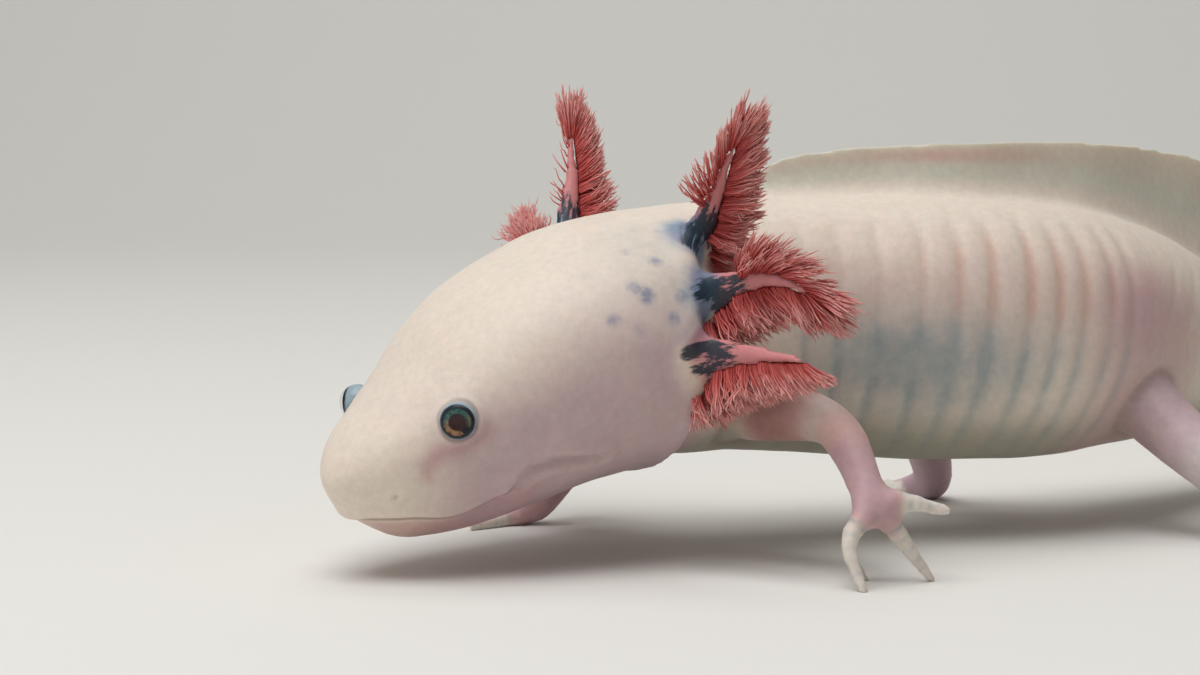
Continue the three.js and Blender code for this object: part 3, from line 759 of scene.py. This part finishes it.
def fine_regions(places):
    """The parts of the head whose folds need small faces."""
    fine = (np.abs(places.above_mouth) < 1.4) & (places.back < 17.2) & (places.body > 0.5)
    fine |= (places.path_gap(NOSTRIL) < 1.6) | (places.path_gap(MOUTH_FOLD) < 1.2)
    for side in EYES:
        ring, height, _ = places.eye_ring(side)
        fine |= (ring < 3.1) & (np.abs(height) < 2.2)
    return fine


def refine(piece, cuts):
    """Cuts the faces of the fine regions smaller."""
    shape = bmesh.new()
    shape.from_mesh(piece.data)
    bmesh.ops.triangulate(shape, faces=shape.faces)
    for _ in range(cuts):
        shape.verts.ensure_lookup_table()
        shape.normal_update()
        points, normals = (np.array([getattr(vertex, what) for vertex in shape.verts])
                           for what in ("co", "normal"))
        fine = fine_regions(Places(points / MM, normals))
        edges = [edge for edge in shape.edges if all(fine[vertex.index] for vertex in edge.verts)]
        bmesh.ops.subdivide_edges(shape, edges=edges, cuts=1, use_grid_fill=True)
        bmesh.ops.triangulate(shape, faces=shape.faces)
        halved = {vertex for edge in edges if edge.is_valid for vertex in edge.verts}
        bmesh.ops.smooth_vert(shape, verts=list(halved), factor=0.5, use_axis_x=True, use_axis_y=True,
                              use_axis_z=True)
        shape.verts.index_update()
    shape.to_mesh(piece.data)
    shape.free()


def thinned_fins(places):
    """The skin's points with the fins pressed thin about their own middle."""
    points = places.points
    left_way = axes_at(places.s)[2]
    for rows, rim, side, _ in over_fins(places.s, places.up):
        rim = np.maximum(rim, 0.1)
        out = (FIN_DEPTH + rim * places.fin) / (FIN_DEPTH + rim)
        own_side = np.where(places.up > 0, 1, -1) == side
        press = (1 - FIN_THINNED) * ramp(places.fin, 0.05, 0.75) * own_side
        points = points + ((fin_ripple(rows, places.s, out) - places.left) * press)[:, None] * left_way
    return points


def thinned_tips(places):
    """How far the skin of the digits is drawn in towards their ends, but not off the floor."""
    draw = places.to_bone * (TIP_THINNED * ramp(places.digit, 0.35, 1))[:, None]
    draw[:, 2] = np.minimum(draw[:, 2], 0)
    return draw


def seated_eyes(points):
    """The skin's points with those that would cover an eye set back behind its rim."""
    for centre, _, gaze in EYES.values():
        height, flat = off_axis(points, centre, gaze)
        ring = size_of(flat)
        most = OPENING_HEIGHT + OPENING_SLOPE * np.maximum(ring - EYE_OPENING, 0)
        sunk = np.where((ring < 3) & (height > 0) & (height < 3), np.minimum(height, most) - height, 0)
        points = points + sunk[:, None] * gaze
    return points


def relief(places):
    """How far the folds and grooves of the skin raise it, in mm."""
    above = places.above_mouth
    lips = ramp(places.back, MOUTH_CORNER + 0.4, MOUTH_CORNER - 2) * places.body
    rise = lips * folded(above, MOUTH_GROOVE)
    rise -= lips * LOWER_LIP_SETBACK * ramp(above, 0.1, -0.8) * ramp(above, -7, -2)
    rise += folded(places.path_gap(MOUTH_FOLD), CORNER_GROOVE)
    rise += folded(places.path_gap(NOSTRIL), NOSTRIL_GROOVE)
    rise -= EYE_GROOVE_DEPTH * near(places.path_gap(EYE_GROOVE), 0.55)
    for eye in EYES:
        ring, height, crown = places.eye_ring(eye)
        round_eye = ramp(height, -1.6, -0.4) * (height < 4)
        rise += round_eye * folded(ring, EYE_RIM)
        rise -= EYE_CREASE_DEPTH * round_eye * near(ring - 3.2, 0.3) * ramp(crown, 0, 0.7)
    flank = ramp(places.angle, 64, 40) * ramp(places.angle, -78, -45) * places.body
    for groove in COSTAL_GROOVES:
        depth = COSTAL_DEPTH if groove > SHOULDER_END else SHOULDER_GROOVE_DEPTH
        rise -= depth * flank * near(places.groove_gap(groove), 0.75)
    tail = places.body * ramp(np.abs(places.up), 9, 6)
    for chevron in TAIL_CHEVRONS:
        gap = places.s - chevron - CHEVRON_SLANT * np.abs(places.up)
        rise -= CHEVRON_DEPTH * tail * near(gap, 0.7)
    rise -= LIMB_ROOT_DEPTH * places.limb_root + FIN_ROOT_DEPTH * ramp(places.fin, 0.1, 0.5)
    unevenness = [noise.noise(Vector(point) / SWELL_SIZE) for point in places.points]
    return rise + SWELL_HEIGHT * np.array(unevenness) * (1 - places.limb)


def skin_masks(places):
    """Where the skin is flushed, slate, dark, thin or pale, and where shade and a highlight are painted on
    it, as numbers for its material.
    """
    s, up, angle, body, fin = places.s, places.up, places.angle, places.body, places.fin
    head = ramp(s, 46, 37) * body
    trunk = ramp(s, 48, 58) * ramp(s, 106, 92) * body
    cheek = head * ramp(up, 9.5, -2) * ramp(places.back, 3, 12)
    jaw = head * ramp(places.above_mouth, 0.4, -1.5) * ramp(places.back, 22, 14)
    band = trunk * near(angle - 16, 34)
    hip = ramp(s, 84, 94) * ramp(s, 112, 100) * ramp(angle, 45, 5) * body
    flush = 0.35 * cheek + 0.6 * jaw + 0.34 * band + 0.45 * hip + 0.75 * places.foreleg
    flush += 0.5 * near(places.path_gap(EYE_GROOVE), 0.9) + 0.2 * ramp(s, 110, 130) + 0.3 * places.hand
    flush += 0.55 * near(fin - 0.7, 0.16) * near(s - 78, 14) + 0.5 * places.upper_arm
    fingers = ramp(places.digit, 0.1, 0.52)
    knuckles = sum(near(places.digit - joint, 0.028) for joint in DIGIT_RINGS) * places.limb
    lilac = 0.6 * cheek + 0.35 * hip + 0.75 * (places.limb - places.foreleg) + 0.35 * places.hand
    lilac += 0.2 * places.foreleg + 0.22 * band + 0.25 * head * near(s - 30, 9) * near(angle - 30, 22)
    grooves = sum(near(places.groove_gap(groove), 0.65) for groove in COSTAL_GROOVES)
    warm = 0.35 + 0.75 * near(s - 81, 9)
    shaded = near(s - 69, 15) * near(angle + 17, 26) + 0.4 * grooves * ramp(angle, 10, -15)
    slate = 0.75 * trunk * np.clip(shaded, 0, 1) + 0.8 * knuckles
    slate += 0.3 * head * near(s - 37, 6) * ramp(up, -1, 4) * ramp(angle, 80, 55)
    edge = s - cheek_line_at(np.sin(np.radians(angle)))
    top_edge = places.on_stalk * ramp(places.stalk_front, -0.55, -0.9)
    dark_run = ramp(places.stalk, 0.07, 0.24) * ramp(places.stalk, 0.66, 0.34)
    # Painted shade behind the rear edge of the cheeks, in a dark red.
    recess = near(edge - 2.8, 2.3) * ramp(angle, 62, 45) * ramp(angle, -45, -20) * body
    # Painted shade in the creases at the roots of the limbs and along the mouth line.
    crease = 0.7 * places.limb_root + 1.1 * near(places.above_mouth, 0.4) * ramp(places.back, 16, 14) * body
    return {
        # Painted shade: the underside is darkened.
        "belly": ramp(angle, -25, -65) * ramp(s, 6, 18) * (1 - places.limb),
        "fin": ramp(fin, 0, 0.5),
        "flush": flush * (1 - 0.8 * fingers),
        "lilac": lilac * (1 - fingers),
        "groove": warm * grooves * trunk * ramp(angle, 60, 30) * ramp(angle, -14, 10),
        "slate": slate,
        "blue": places.stalk_root * ramp(up, -3, 3) * ramp(edge, 1.8, -0.2),
        "spot": sum(dark * near(size_of(places.head - spot), 1.1) for spot, dark in head_spots()),
        # The paler elbows are a painted highlight; the paler fingers are their own colour.
        "pale": 0.55 * places.elbow + 0.8 * fingers + 0.7 * top_edge * ramp(places.stalk, 0.75, 0.5),
        "gill": places.on_stalk * ramp(places.stalk, 0.08, 0.3),
        # A dark red: painted shade behind the cheeks, and on the upper arms partly their own red, partly
        # painted shade.
        "recess": recess + 0.42 * places.upper_arm,
        # Painted shade in the creases, with more of it in the nostrils.
        "crease": crease + 0.4 * near(places.path_gap(NOSTRIL), 0.35),
        "pigment": places.on_stalk * dark_run * (1 - 0.6 * top_edge),
        "stalk_run": places.stalk,
        "stalk_across": 0.5 + places.stalk_front / 4,
        "stalk_number": places.stalk_number / len(GILLS),
    }


def head_spots():
    """The small blue-grey spots behind the eye, in the head's own directions, and how dark each is."""
    for s, left, up, dark in HEAD_SPOTS:
        spot = (placed(axes_at(s), 0, left, up) - HEAD_AXES[0]) @ np.array(HEAD_AXES[1:]).T
        yield np.array([spot[0], abs(spot[1]), spot[2]]), dark


# Each tint of the skin: size of its mottling in mm, how much that breaks it up, where it starts and ends on
# its mask, and its greatest share. The tints of the underside, the recess behind the cheeks and the creases
# are painted shade, and the pale tint is partly a painted highlight.
TINTS = {
    "belly": (6, 0.5, 0.0, 1.0, 0.75), "fin": (7, 0.4, 0.0, 1.0, 0.8), "flush": (4, 0.9, 0.0, 1.0, 1.0),
    "lilac": (5, 0.7, 0.0, 1.0, 0.9), "groove": (3, 0.9, 0.1, 1.0, 0.38), "slate": (2.4, 0.9, 0.0, 1.0, 0.74),
    "spot": (0.9, 1.8, 0.2, 0.9, 0.75), "pale": (2, 0.4, 0.0, 1.0, 0.8),
    "gill": (1.2, 0.7, 0.1, 0.9, 0.9), "recess": (1.5, 0.6, 0.1, 0.9, 0.9),
    "blue": (2, 0.9, 0.12, 0.8, 0.85),
    "crease": (2, 0.6, 0.2, 1.0, 0.52), "pigment": (0.8, 3.6, 0.45, 0.9, 0.94),
}


def read_masks(node, *names):
    """The outputs of the numbers that a piece's vertices carry."""
    return [node("ShaderNodeAttribute", output="Fac", attribute_name=name) for name in names]


def skin_material(settings):
    """Platinum silicone, cast thin over a cream body and stained from within, with a soft satin surface.

    Light sinks about a millimetre into it, so that the fins glow and the folds stay soft. Shade is painted on
    the underside, behind the cheeks, on the upper arms and in the creases, and a highlight on the elbows.
    """
    material, node = new_material("stained_silicone_skin")
    place = node("ShaderNodeTexCoord", output="Object")
    # The dark streaks of the gill stalks are drawn out along them.
    on_stalk = node("ShaderNodeCombineXYZ", read_masks(node, "stalk_run", "stalk_across", "stalk_number"))
    streaks = node("ShaderNodeVectorMath", (on_stalk, (5.5 * MM, 9 * MM, 50 * MM)), operation="MULTIPLY")
    shade = tuple(settings.cream)
    for name, (size, broken, start, end, most) in TINTS.items():
        where, roughness = (streaks, 0.72) if name == "pigment" else (place, 0.6)
        mottle = mottling(node, where, size, 3, roughness)
        uneven = node("ShaderNodeMath", (mottle, broken, 1 - broken / 2), operation="MULTIPLY_ADD")
        amount = node("ShaderNodeMath", (*read_masks(node, name), uneven), operation="MULTIPLY")
        share = spread(node, amount, start, end, 0, most, "SMOOTHSTEP")
        shade = blend(node, share, shade, tuple(getattr(settings, name)))
    grain = mottling(node, place, 0.9, 4, 0.65)
    shade = blend(node, 1.0, shade, spread(node, grain, 0.3, 0.7, 0.93, 1.05), blend_type="MULTIPLY")
    bump = node("ShaderNodeBump", {
        "Height": mottling(node, place, 0.5, 5, 0.6), "Strength": 0.35, "Distance": 0.12 * MM})
    shader = node("ShaderNodeBsdfPrincipled", {
        "Base Color": shade, "Roughness": spread(node, grain, 0.3, 0.7, 0.42, 0.54), "Normal": bump,
        "Subsurface Weight": 0.45, "Subsurface Radius": (1.0, 0.5, 0.35),
        "Subsurface Scale": settings.depth, "IOR": 1.41})
    node("ShaderNodeOutputMaterial", {"Surface": shader})
    return material


# ---- the eyes
def eye_piece(name, side, radius, height_at):
    """A ball round an eye's centre, with its height along the gaze changed, and its own three ways."""
    centre, _, outward = EYES[side]
    upward = unit(HEAD_AXES[3] - (HEAD_AXES[3] @ outward) * outward)
    rearward = np.cross(upward, outward)

    def place(share, turn):
        height, ring = radius * np.cos(np.pi * share), radius * np.sin(np.pi * share)
        across = rearward * np.cos(turn)[:, None] + upward * np.sin(turn)[:, None]
        return centre + outward * height_at(height, ring)[:, None] + across * ring[:, None]

    shape = bmesh.new()
    add_form(shape, 64, 64, place)
    return new_piece(f"eye_{side}_{name}", shape), outward, upward, rearward


def eye_ball(side):
    """The eyeball, cut flat in front where the iris lies."""
    dished = lambda height, ring: np.where(
        height > IRIS_DEPTH, IRIS_DEPTH - IRIS_DISH * (1 - (ring / IRIS_RADIUS) ** 2), height)
    piece, outward, upward, rearward = eye_piece("ball", side, EYE_RADIUS, dished)
    height, flat = off_axis(vertex_values(piece.data), EYES[side][0], outward)
    paint(piece.data, {
        "across": np.where(height > 0, size_of(flat) / EYE_RADIUS, 1),
        "upward": 0.5 + 0.5 * flat @ upward / EYE_RADIUS,
        "rearward": 0.5 + 0.5 * flat @ rearward / EYE_RADIUS,
    })
    return piece


def eye_cornea(side):
    """The clear dome over the iris."""
    flat_based = lambda height, ring: np.maximum(height, DOME_BASE)
    return eye_piece("cornea", side, EYE_RADIUS + DOME_GAP, flat_based)[0]


def eye_material(settings):
    """Painted glass eye: a dark pupil, a ring of teal, gold and olive flecks, and a navy rim."""
    material, node = new_material("painted_glass_eye")
    place = node("ShaderNodeTexCoord", output="Object")
    across, upward, rearward = read_masks(node, "across", "upward", "rearward")
    pupil_colour, gold, olive, teal, navy, rim = (
        tuple(getattr(settings, name)) for name in ("pupil_colour", "gold", "olive", "teal", "navy", "rim"))
    flecks = mottling(node, place, 0.3, 4, 0.7)
    tilt = node("ShaderNodeMath", (flecks, 0.7, -0.35), operation="MULTIPLY_ADD")
    height, across_iris = (node("ShaderNodeMath", (way, tilt), operation="ADD") for way in (upward, rearward))
    low = node("ShaderNodeValToRGB", (across_iris,), stops=[
        (0.4, gold), (0.56, navy), (0.7, navy), (0.84, olive)])
    iris = blend(node, spread(node, height, 0.42, 0.72, kind="SMOOTHSTEP"), low, teal)
    iris = blend(node, spread(node, flecks, 0.48, 0.6, high=0.8), iris, navy)
    ragged = node("ShaderNodeMath", (flecks, 0.06, across), operation="MULTIPLY_ADD")
    pupil = settings.pupil / (EYE_RADIUS * MM)
    black, white = linear("#000000"), linear("#ffffff")
    in_iris = node("ShaderNodeValToRGB", (ragged,), stops=[
        (pupil + 0.02, black), (pupil + 0.06, white), (0.72, white), (0.79, black)])
    dark = node("ShaderNodeValToRGB", (ragged,), stops=[
        (pupil, pupil_colour), (pupil + 0.03, navy), (0.94, navy), (0.99, rim)])
    shade = blend(node, in_iris, dark, iris)
    shader = node("ShaderNodeBsdfPrincipled", {"Base Color": shade, "Roughness": 0.25, "IOR": 1.36})
    node("ShaderNodeOutputMaterial", {"Surface": shader})
    return material


def cornea_material(settings):
    """Clear cast resin: nearly unseen from the front, and a pale blue rim where it turns away."""
    material, node = new_material("clear_resin_dome")
    edge = node("ShaderNodeLayerWeight", {"Blend": 0.35}, "Facing")
    alpha = spread(node, edge, 0.3, 1.0, 0.02, 0.45, "SMOOTHSTEP")
    shader = node("ShaderNodeBsdfPrincipled", {
        "Base Color": tuple(settings.dome), "Alpha": alpha, "Roughness": 0.05, "IOR": 1.34})
    node("ShaderNodeOutputMaterial", {"Surface": shader})
    return material


# ---- the fringes of the gills
def strand_paths(name, count, random):
    """A gill's filaments as points (filament, step, 3), with their place along and round its stalk."""
    gill = GILLS[name]
    standing, share_standing = gill.standing
    rows = random.random(count)
    stands, at_tip = rows < share_standing, rows > 1 - gill.at_tip
    standing_at = STANDING_FROM + STANDING_SPAN * random.random(count)
    hanging_at = 0.03 + 0.96 * random.random(count) ** 0.9
    along = np.where(stands, standing_at, hanging_at)
    along = np.where(at_tip, 0.88 + 0.12 * random.random(count), along)
    centre, tangent = path_at(GILL_PATHS[name], along)
    hang = direction(*gill.hang)
    hanging = unit(hang - (tangent @ hang)[:, None] * tangent)
    across = np.cross(tangent, hanging)
    # Neighbours cling together in tufts, which differ a little in their ways and lengths.
    tuft = (TUFTS * along + 0.8 * random.random(count)).astype(int) + TUFTS * 2 * stands
    tufts = random.normal(size=(4 * TUFTS + 4, 5))[tuft]
    own = random.normal(size=(count, 5))
    lean_shift, splay_shift, size_shift, bend_shift, sway_shift = (0.8 * tufts + 0.45 * own).T
    sides = np.where(random.random(count) < 0.5, -1, 1)
    splay = np.radians(15 * sides + 9 * splay_shift)
    splay = np.where(stands, np.pi + 1.6 * splay, splay)
    splay = np.where(at_tip, 2 * np.pi * random.random(count), splay)
    out = hanging * np.cos(splay)[:, None] + across * np.sin(splay)[:, None]
    swept = gill.sweep * along**1.4 - 8 + 8 * at_tip
    risen = 24 + 58 * (along - STANDING_FROM) / STANDING_SPAN
    lean = np.radians(np.where(stands, risen, swept) + 5 * lean_shift)
    way = out * np.cos(lean)[:, None] + tangent * np.sin(lean)[:, None]
    size = np.where(stands, standing, smooth_run(gill.reach)(along))
    size = size * (0.62 + 0.4 * random.random(count) ** 0.6) * (1 + 0.1 * size_shift)
    start = gill.breadth * stalk_at(along) * (0.15 + 0.6 * np.abs(np.cos(splay)))
    start = centre + out * start[:, None]
    q = np.linspace(0, 1, STRAND_STEPS)[None, :, None]
    # Each bends with its tuft, and waves more and more towards its tip.
    bend = tangent * (0.26 + 0.11 * bend_shift)[:, None] + across * (0.12 * sway_shift)[:, None]
    bend = bend + [0, 0, -0.04]
    turn = 2 * np.pi * (q * (1 + random.random((count, 1, 1))) + random.random((count, 1, 1)))
    wave = (tangent * own[:, :1] + across * own[:, 1:2]) * (0.03 + 0.06 * random.random(count))[:, None]
    line = way[:, None] * q + bend[:, None] * q**2
    line = line + wave[:, None] * (np.sin(turn) - np.sin(turn[:, :1])) * q**1.3
    return start[:, None] + size[:, None, None] * line, along, splay


def gill_fringe(name, settings, seed):
    """All filaments of one gill as one piece, with a map of their roots."""
    count = settings.filaments // 1
    random = np.random.default_rng(seed)
    line, along, splay = strand_paths(name, count, random)
    rings = STRAND_STEPS - 1
    shape, share, turn = new_ball(rings, STRAND_AROUND)
    share, turn = np.tile(share, (count, 1)), np.tile(turn, (count, 1))
    piece = new_piece(f"gill_filaments_{name}", shape)
    copies = piece.modifiers.new("copies", "ARRAY")
    copies.count, copies.use_merge_vertices = count, False
    settle(piece)
    step = np.round(share * rings).astype(int)
    who = np.arange(count)[:, None]
    ways = unit(np.gradient(line, axis=1))
    wide = unit(np.cross(ways, unit(random.normal(size=(count, 1, 3)))))
    narrow = np.cross(wide, ways)
    girth = settings.girth / MM * (0.8 + 0.4 * random.random((count, 1))) * (1 - 0.45 * share)
    girth = girth * ((step > 0) & (step < rings))
    points = line[who, step] + girth[..., None] * (
        wide[who, step] * np.cos(turn)[..., None] + narrow[who, step] * np.sin(turn)[..., None])
    points[..., 2] = np.maximum(points[..., 2], 0.1)
    move_vertices(piece.data, points.reshape(-1, 3))
    paint(piece.data, {"outward": share.ravel(), "strand": np.repeat(random.random(count), share.shape[1])})
    roots = np.stack([0.05 + 0.9 * along, 0.5 + 0.45 * np.sin(splay)], -1)[:, None]
    patch = np.stack([0.003 * (share - 0.5), 0.003 * turn / (2 * np.pi)], -1)
    corners = np.empty(len(piece.data.loops), np.int64)
    piece.data.loops.foreach_get("vertex_index", corners)
    places = (roots + patch).reshape(-1, 2)[corners]
    piece.data.uv_layers.new(name="OFBake").data.foreach_set("uv", places.ravel())
    return piece


def gill_material(settings):
    """Dyed silicone threads: blood red at the root and paler, pinker and clearer towards the tip."""
    material, node = new_material("dyed_silicone_threads")
    outward, strand = read_masks(node, "outward", "strand")
    shifted = node("ShaderNodeMath", (strand, 0.35, -0.17), operation="MULTIPLY_ADD")
    fade = node("ShaderNodeMath", (outward, shifted), operation="ADD")
    shade = node("ShaderNodeValToRGB", (fade,), stops=[
        (0.0, tuple(settings.root)), (0.45, tuple(settings.middle)), (1.0, tuple(settings.tip))])
    solid = node("ShaderNodeBsdfPrincipled", {"Base Color": shade, "Roughness": 0.45, "IOR": 1.41})
    # The threads are thin enough for light to come through them.
    through = node("ShaderNodeBsdfTranslucent", {"Color": shade})
    node("ShaderNodeOutputMaterial", {"Surface": node("ShaderNodeMixShader", (0.3, solid, through))})
    return material


# ---- settings that a user would change
class AxolotlSkinSettings(bpy.types.PropertyGroup):
    voxel: length("Voxel", "Size of the cells that join the forms of the flesh into one skin", 0.6)
    depth: length("Light depth", "How deep light sinks into the skin", 1.3)
    cream: colour("Cream", "Back and top of the head", "#e1d4c6")
    flush: colour("Flush", "Cheeks, jaw, hips and limbs", "#cba39b")
    lilac: colour("Lilac", "Cheeks, thighs and palms", "#b79ba8")
    groove: colour("Groove", "Grooves between the ribs", "#c48d78")
    slate: colour("Slate", "Blue-grey of the lower flank and the finger rings", "#708a92")
    blue: colour("Blue", "Roots of the gills", "#6488a6")
    spot: colour("Spot", "Spots behind the eyes", "#6c7896")
    # Painted shade: a darker tone for the underside.
    belly: colour("Belly", "Underside", "#888777")
    fin: colour("Fin", "Thin skin of the fins", "#c3c2b3")
    # On the elbows this is a painted highlight; on the fingers it is their own colour.
    pale: colour("Pale", "Fingers, elbows and upper edges of the gill stalks", "#d6d3cb")
    gill: colour("Gill", "Outer part of the gill stalks", "#c8777c")
    # Painted shade behind the cheeks; on the upper arms partly their own red, partly painted shade.
    recess: colour("Recess", "Behind the edge of the cheeks, and the upper arms", "#7d2a28")
    # Painted shade along the mouth line, in the nostrils and in the creases of the limbs.
    crease: colour("Crease", "Mouth line, nostrils and creases of the limbs", "#82564d")
    pigment: colour("Pigment", "Dark streaks on the gill stalks", "#0a2c3a")


class AxolotlEyeSettings(bpy.types.PropertyGroup):
    pupil: length("Pupil", "Radius of the pupil", 0.86)
    pupil_colour: colour("Pupil colour", "Depth of the pupil", "#300a05")
    gold: colour("Gold", "Lower front of the iris", "#9a7350")
    olive: colour("Olive", "Rear of the iris", "#747847")
    teal: colour("Teal", "Upper part of the iris", "#38685f")
    navy: colour("Navy", "Flecks and outer ring", "#0a101a")
    rim: colour("Rim", "Where the ball runs under the skin", "#93a5b0")
    dome: colour("Dome", "Tint of the clear dome where it turns away", "#a3bdca")


class AxolotlGillSettings(bpy.types.PropertyGroup):
    filaments: IntProperty(name="Filaments", description="Number on each gill", default=1500, min=20,
                           max=1800)
    girth: length("Filament radius", "Radius of a filament at its root", 0.105)
    root: colour("Root", "Filament at its root", "#b23a35")
    middle: colour("Middle", "Filament halfway", "#de6c67")
    tip: colour("Tip", "Filament at its tip", "#f2bab3")


class AxolotlStageSettings(bpy.types.PropertyGroup):
    floor: colour("Floor", "Floor and backdrop", "#e3e1dc")
    key: power("Key light", "Power of the light above the head", 3.65)
    fill: power("Fill light", "Power of the light beside the camera", 0.8)
    backdrop: power("Backdrop light", "Power of the light on the wall", 4.0)
    sky: FloatProperty(name="Room light", description="Strength of the light from all round", default=0.24)


# ---- operators
class AXOLOTL_OT_skin(bpy.types.Operator):
    """Build the skin over head, trunk, tail, fins, limbs and gill stalks"""
    bl_idname = "axolotl.skin"
    bl_label = "Skin"

    def execute(self, context):
        settings = context.scene.axolotl_skin
        piece = new_piece("skin", skin_shape())
        cells = piece.modifiers.new("one_skin", "REMESH")
        cells.mode = "VOXEL"
        cells.voxel_size = settings.voxel * 1
        settle(piece)
        move_vertices(piece.data, evened_rims(vertex_values(piece.data)))
        weigh(piece, "junctions", junction_weights(vertex_values(piece.data)))
        for name, turns, group in (("steps", 4, ""), ("junctions", 24, "junctions")):
            smooth = piece.modifiers.new(name, "SMOOTH")
            smooth.factor, smooth.iterations, smooth.vertex_group = 0.5, turns, group
        settle(piece)
        refine(piece, 2)
        normals = vertex_values(piece.data, "normal")
        places = Places(vertex_values(piece.data), normals)
        points = thinned_fins(places) + thinned_tips(places) + relief(places)[:, None] * normals
        points = seated_eyes(points)
        points[:, 2] = np.maximum(points[:, 2], 0)
        move_vertices(piece.data, points)
        paint(piece.data, skin_masks(places))
        flesh = [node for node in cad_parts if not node.startswith(("eye_", "gill_"))]
        finish_piece(piece, skin_material(settings), flesh)
        return {"FINISHED"}


class AXOLOTL_OT_eyes(bpy.types.Operator):
    """Build both eyeballs and the clear domes over them"""
    bl_idname = "axolotl.eyes"
    bl_label = "Eyes"

    def execute(self, context):
        settings = context.scene.axolotl_eyes
        painted, clear = eye_material(settings), cornea_material(settings)
        for side in EYES:
            finish_piece(eye_ball(side), painted, [f"eye_{side}"])
            finish_piece(eye_cornea(side), clear)
        return {"FINISHED"}


class AXOLOTL_OT_gills(bpy.types.Operator):
    """Build the fringes of filaments on the six gills"""
    bl_idname = "axolotl.gills"
    bl_label = "Gill Fringes"

    def execute(self, context):
        settings = context.scene.axolotl_gills
        material = gill_material(settings)
        for seed, name in enumerate(GILLS):
            finish_piece(gill_fringe(name, settings, seed), material, [f"gill_{name}"])
        return {"FINISHED"}


def backdrop_shape():
    """A floor that bends up into a wall, in metres."""
    floor_depth, bend_depth, bend_radius, front = 2.2, 0.8, 0.5, 1.6
    shape = bmesh.new()
    bmesh.ops.create_grid(shape, x_segments=2, y_segments=60, size=1)
    for vertex in shape.verts:
        run = (vertex.co.y + 1) * 2
        bend = min(max((run - floor_depth) / bend_depth, 0), 1) * math.pi / 2
        rise = max(run - floor_depth - bend_depth, 0)
        vertex.co = (3 * vertex.co.x, min(run, floor_depth) - front + bend_radius * math.sin(bend),
                     bend_radius * (1 - math.cos(bend)) + rise)
    return shape


def paper_material(settings):
    """Matt backdrop paper, with faint fibres."""
    material, node = new_material("matt_backdrop_paper")
    place = node("ShaderNodeTexCoord", output="Object")
    fibres = node("ShaderNodeTexNoise", {"Vector": place, "Scale": 900, "Detail": 3})
    bump = node("ShaderNodeBump", {"Height": fibres, "Strength": 0.05, "Distance": 0.1 * MM})
    shader = node("ShaderNodeBsdfPrincipled", {
        "Base Color": tuple(settings.floor), "Roughness": 0.9, "Normal": bump})
    node("ShaderNodeOutputMaterial", {"Surface": shader})
    return material


class AXOLOTL_OT_stage(bpy.types.Operator):
    """Build the floor, the lights and the camera"""
    bl_idname = "axolotl.stage"
    bl_label = "Stage"

    def execute(self, context):
        settings = context.scene.axolotl_stage
        floor = new_piece("floor", backdrop_shape())
        surface(floor, paper_material(settings))
        floor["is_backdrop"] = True
        # Each soft square light: its place, what it faces, its size and its power.
        for name, place, aim, size, power in (
                ("key", (-0.2, -0.22, 0.66), (-0.05, -0.02, 0.01), 0.5, settings.key),
                ("fill", (-0.6, -0.35, 0.12), (-0.05, 0.0, 0.02), 0.5, settings.fill),
                ("backdrop", (0, 0.45, 1.1), (0, 1.1, 0.3), 0.8, settings.backdrop)):
            lamp = bpy.data.lights.new(name, "AREA")
            lamp.size, lamp.energy = size, power
            light = bpy.data.objects.new(name, lamp)
            light.location = place
            light.rotation_euler = (Vector(aim) - Vector(place)).to_track_quat("-Z", "Y").to_euler()
            context.scene.collection.objects.link(light)
        world = bpy.data.worlds.new("room")
        context.scene.world = world
        world.use_nodes = True
        sky = world.node_tree.nodes["Background"]
        sky.inputs["Color"].default_value = linear("#f2f1ee")
        sky.inputs["Strength"].default_value = settings.sky
        context.scene.view_settings.view_transform = "Standard"
        lens = bpy.data.cameras.new("camera")
        lens.lens, lens.sensor_width, lens.clip_start = 84, 36, 0.01
        camera = bpy.data.objects.new("camera", lens)
        context.scene.collection.objects.link(camera)
        tilt = math.radians(5)
        aim = Vector((-0.0713, -0.0443, 0.0253))
        camera.location = aim + 0.28 * Vector((0, -math.cos(tilt), math.sin(tilt)))
        camera.rotation_euler = Euler((math.pi / 2 - tilt, 0, 0))
        context.scene.camera = camera
        return {"FINISHED"}


class AXOLOTL_PT_panel(bpy.types.Panel):
    """Buttons and settings of the axolotl model"""
    bl_idname = "AXOLOTL_PT_panel"
    bl_label = "Axolotl"
    bl_space_type = "VIEW_3D"
    bl_region_type = "UI"
    bl_category = "Axolotl"

    def draw(self, context):
        for step in SETTINGS:
            box = self.layout.box()
            box.operator(f"axolotl.{step}")
            group = getattr(context.scene, f"axolotl_{step}")
            for name in group.bl_rna.properties.keys():
                if name not in ("rna_type", "name"):
                    box.prop(group, name)


# The steps of the work, in order, each with its settings.
SETTINGS = {"skin": AxolotlSkinSettings, "eyes": AxolotlEyeSettings, "gills": AxolotlGillSettings,
            "stage": AxolotlStageSettings}
CLASSES = [*SETTINGS.values(), AXOLOTL_OT_skin, AXOLOTL_OT_eyes, AXOLOTL_OT_gills, AXOLOTL_OT_stage,
           AXOLOTL_PT_panel]


def register():
    for cls in CLASSES:
        bpy.utils.register_class(cls)
    for step, settings in SETTINGS.items():
        setattr(bpy.types.Scene, f"axolotl_{step}", PointerProperty(type=settings))


def unregister():
    for step in SETTINGS:
        delattr(bpy.types.Scene, f"axolotl_{step}")
    for cls in reversed(CLASSES):
        bpy.utils.unregister_class(cls)


def main():
    """Build the model step by step, and work out the size of its box beside the solids' box."""
    register()
    for step in SETTINGS:
        getattr(bpy.ops.axolotl, step)()
    boxes = {"cad": CAD_BOX, "visual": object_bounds()}
    plain = {name: [[float(x) for x in corner] for corner in box] for name, box in boxes.items()}


if __name__ == "__main__":
    main()
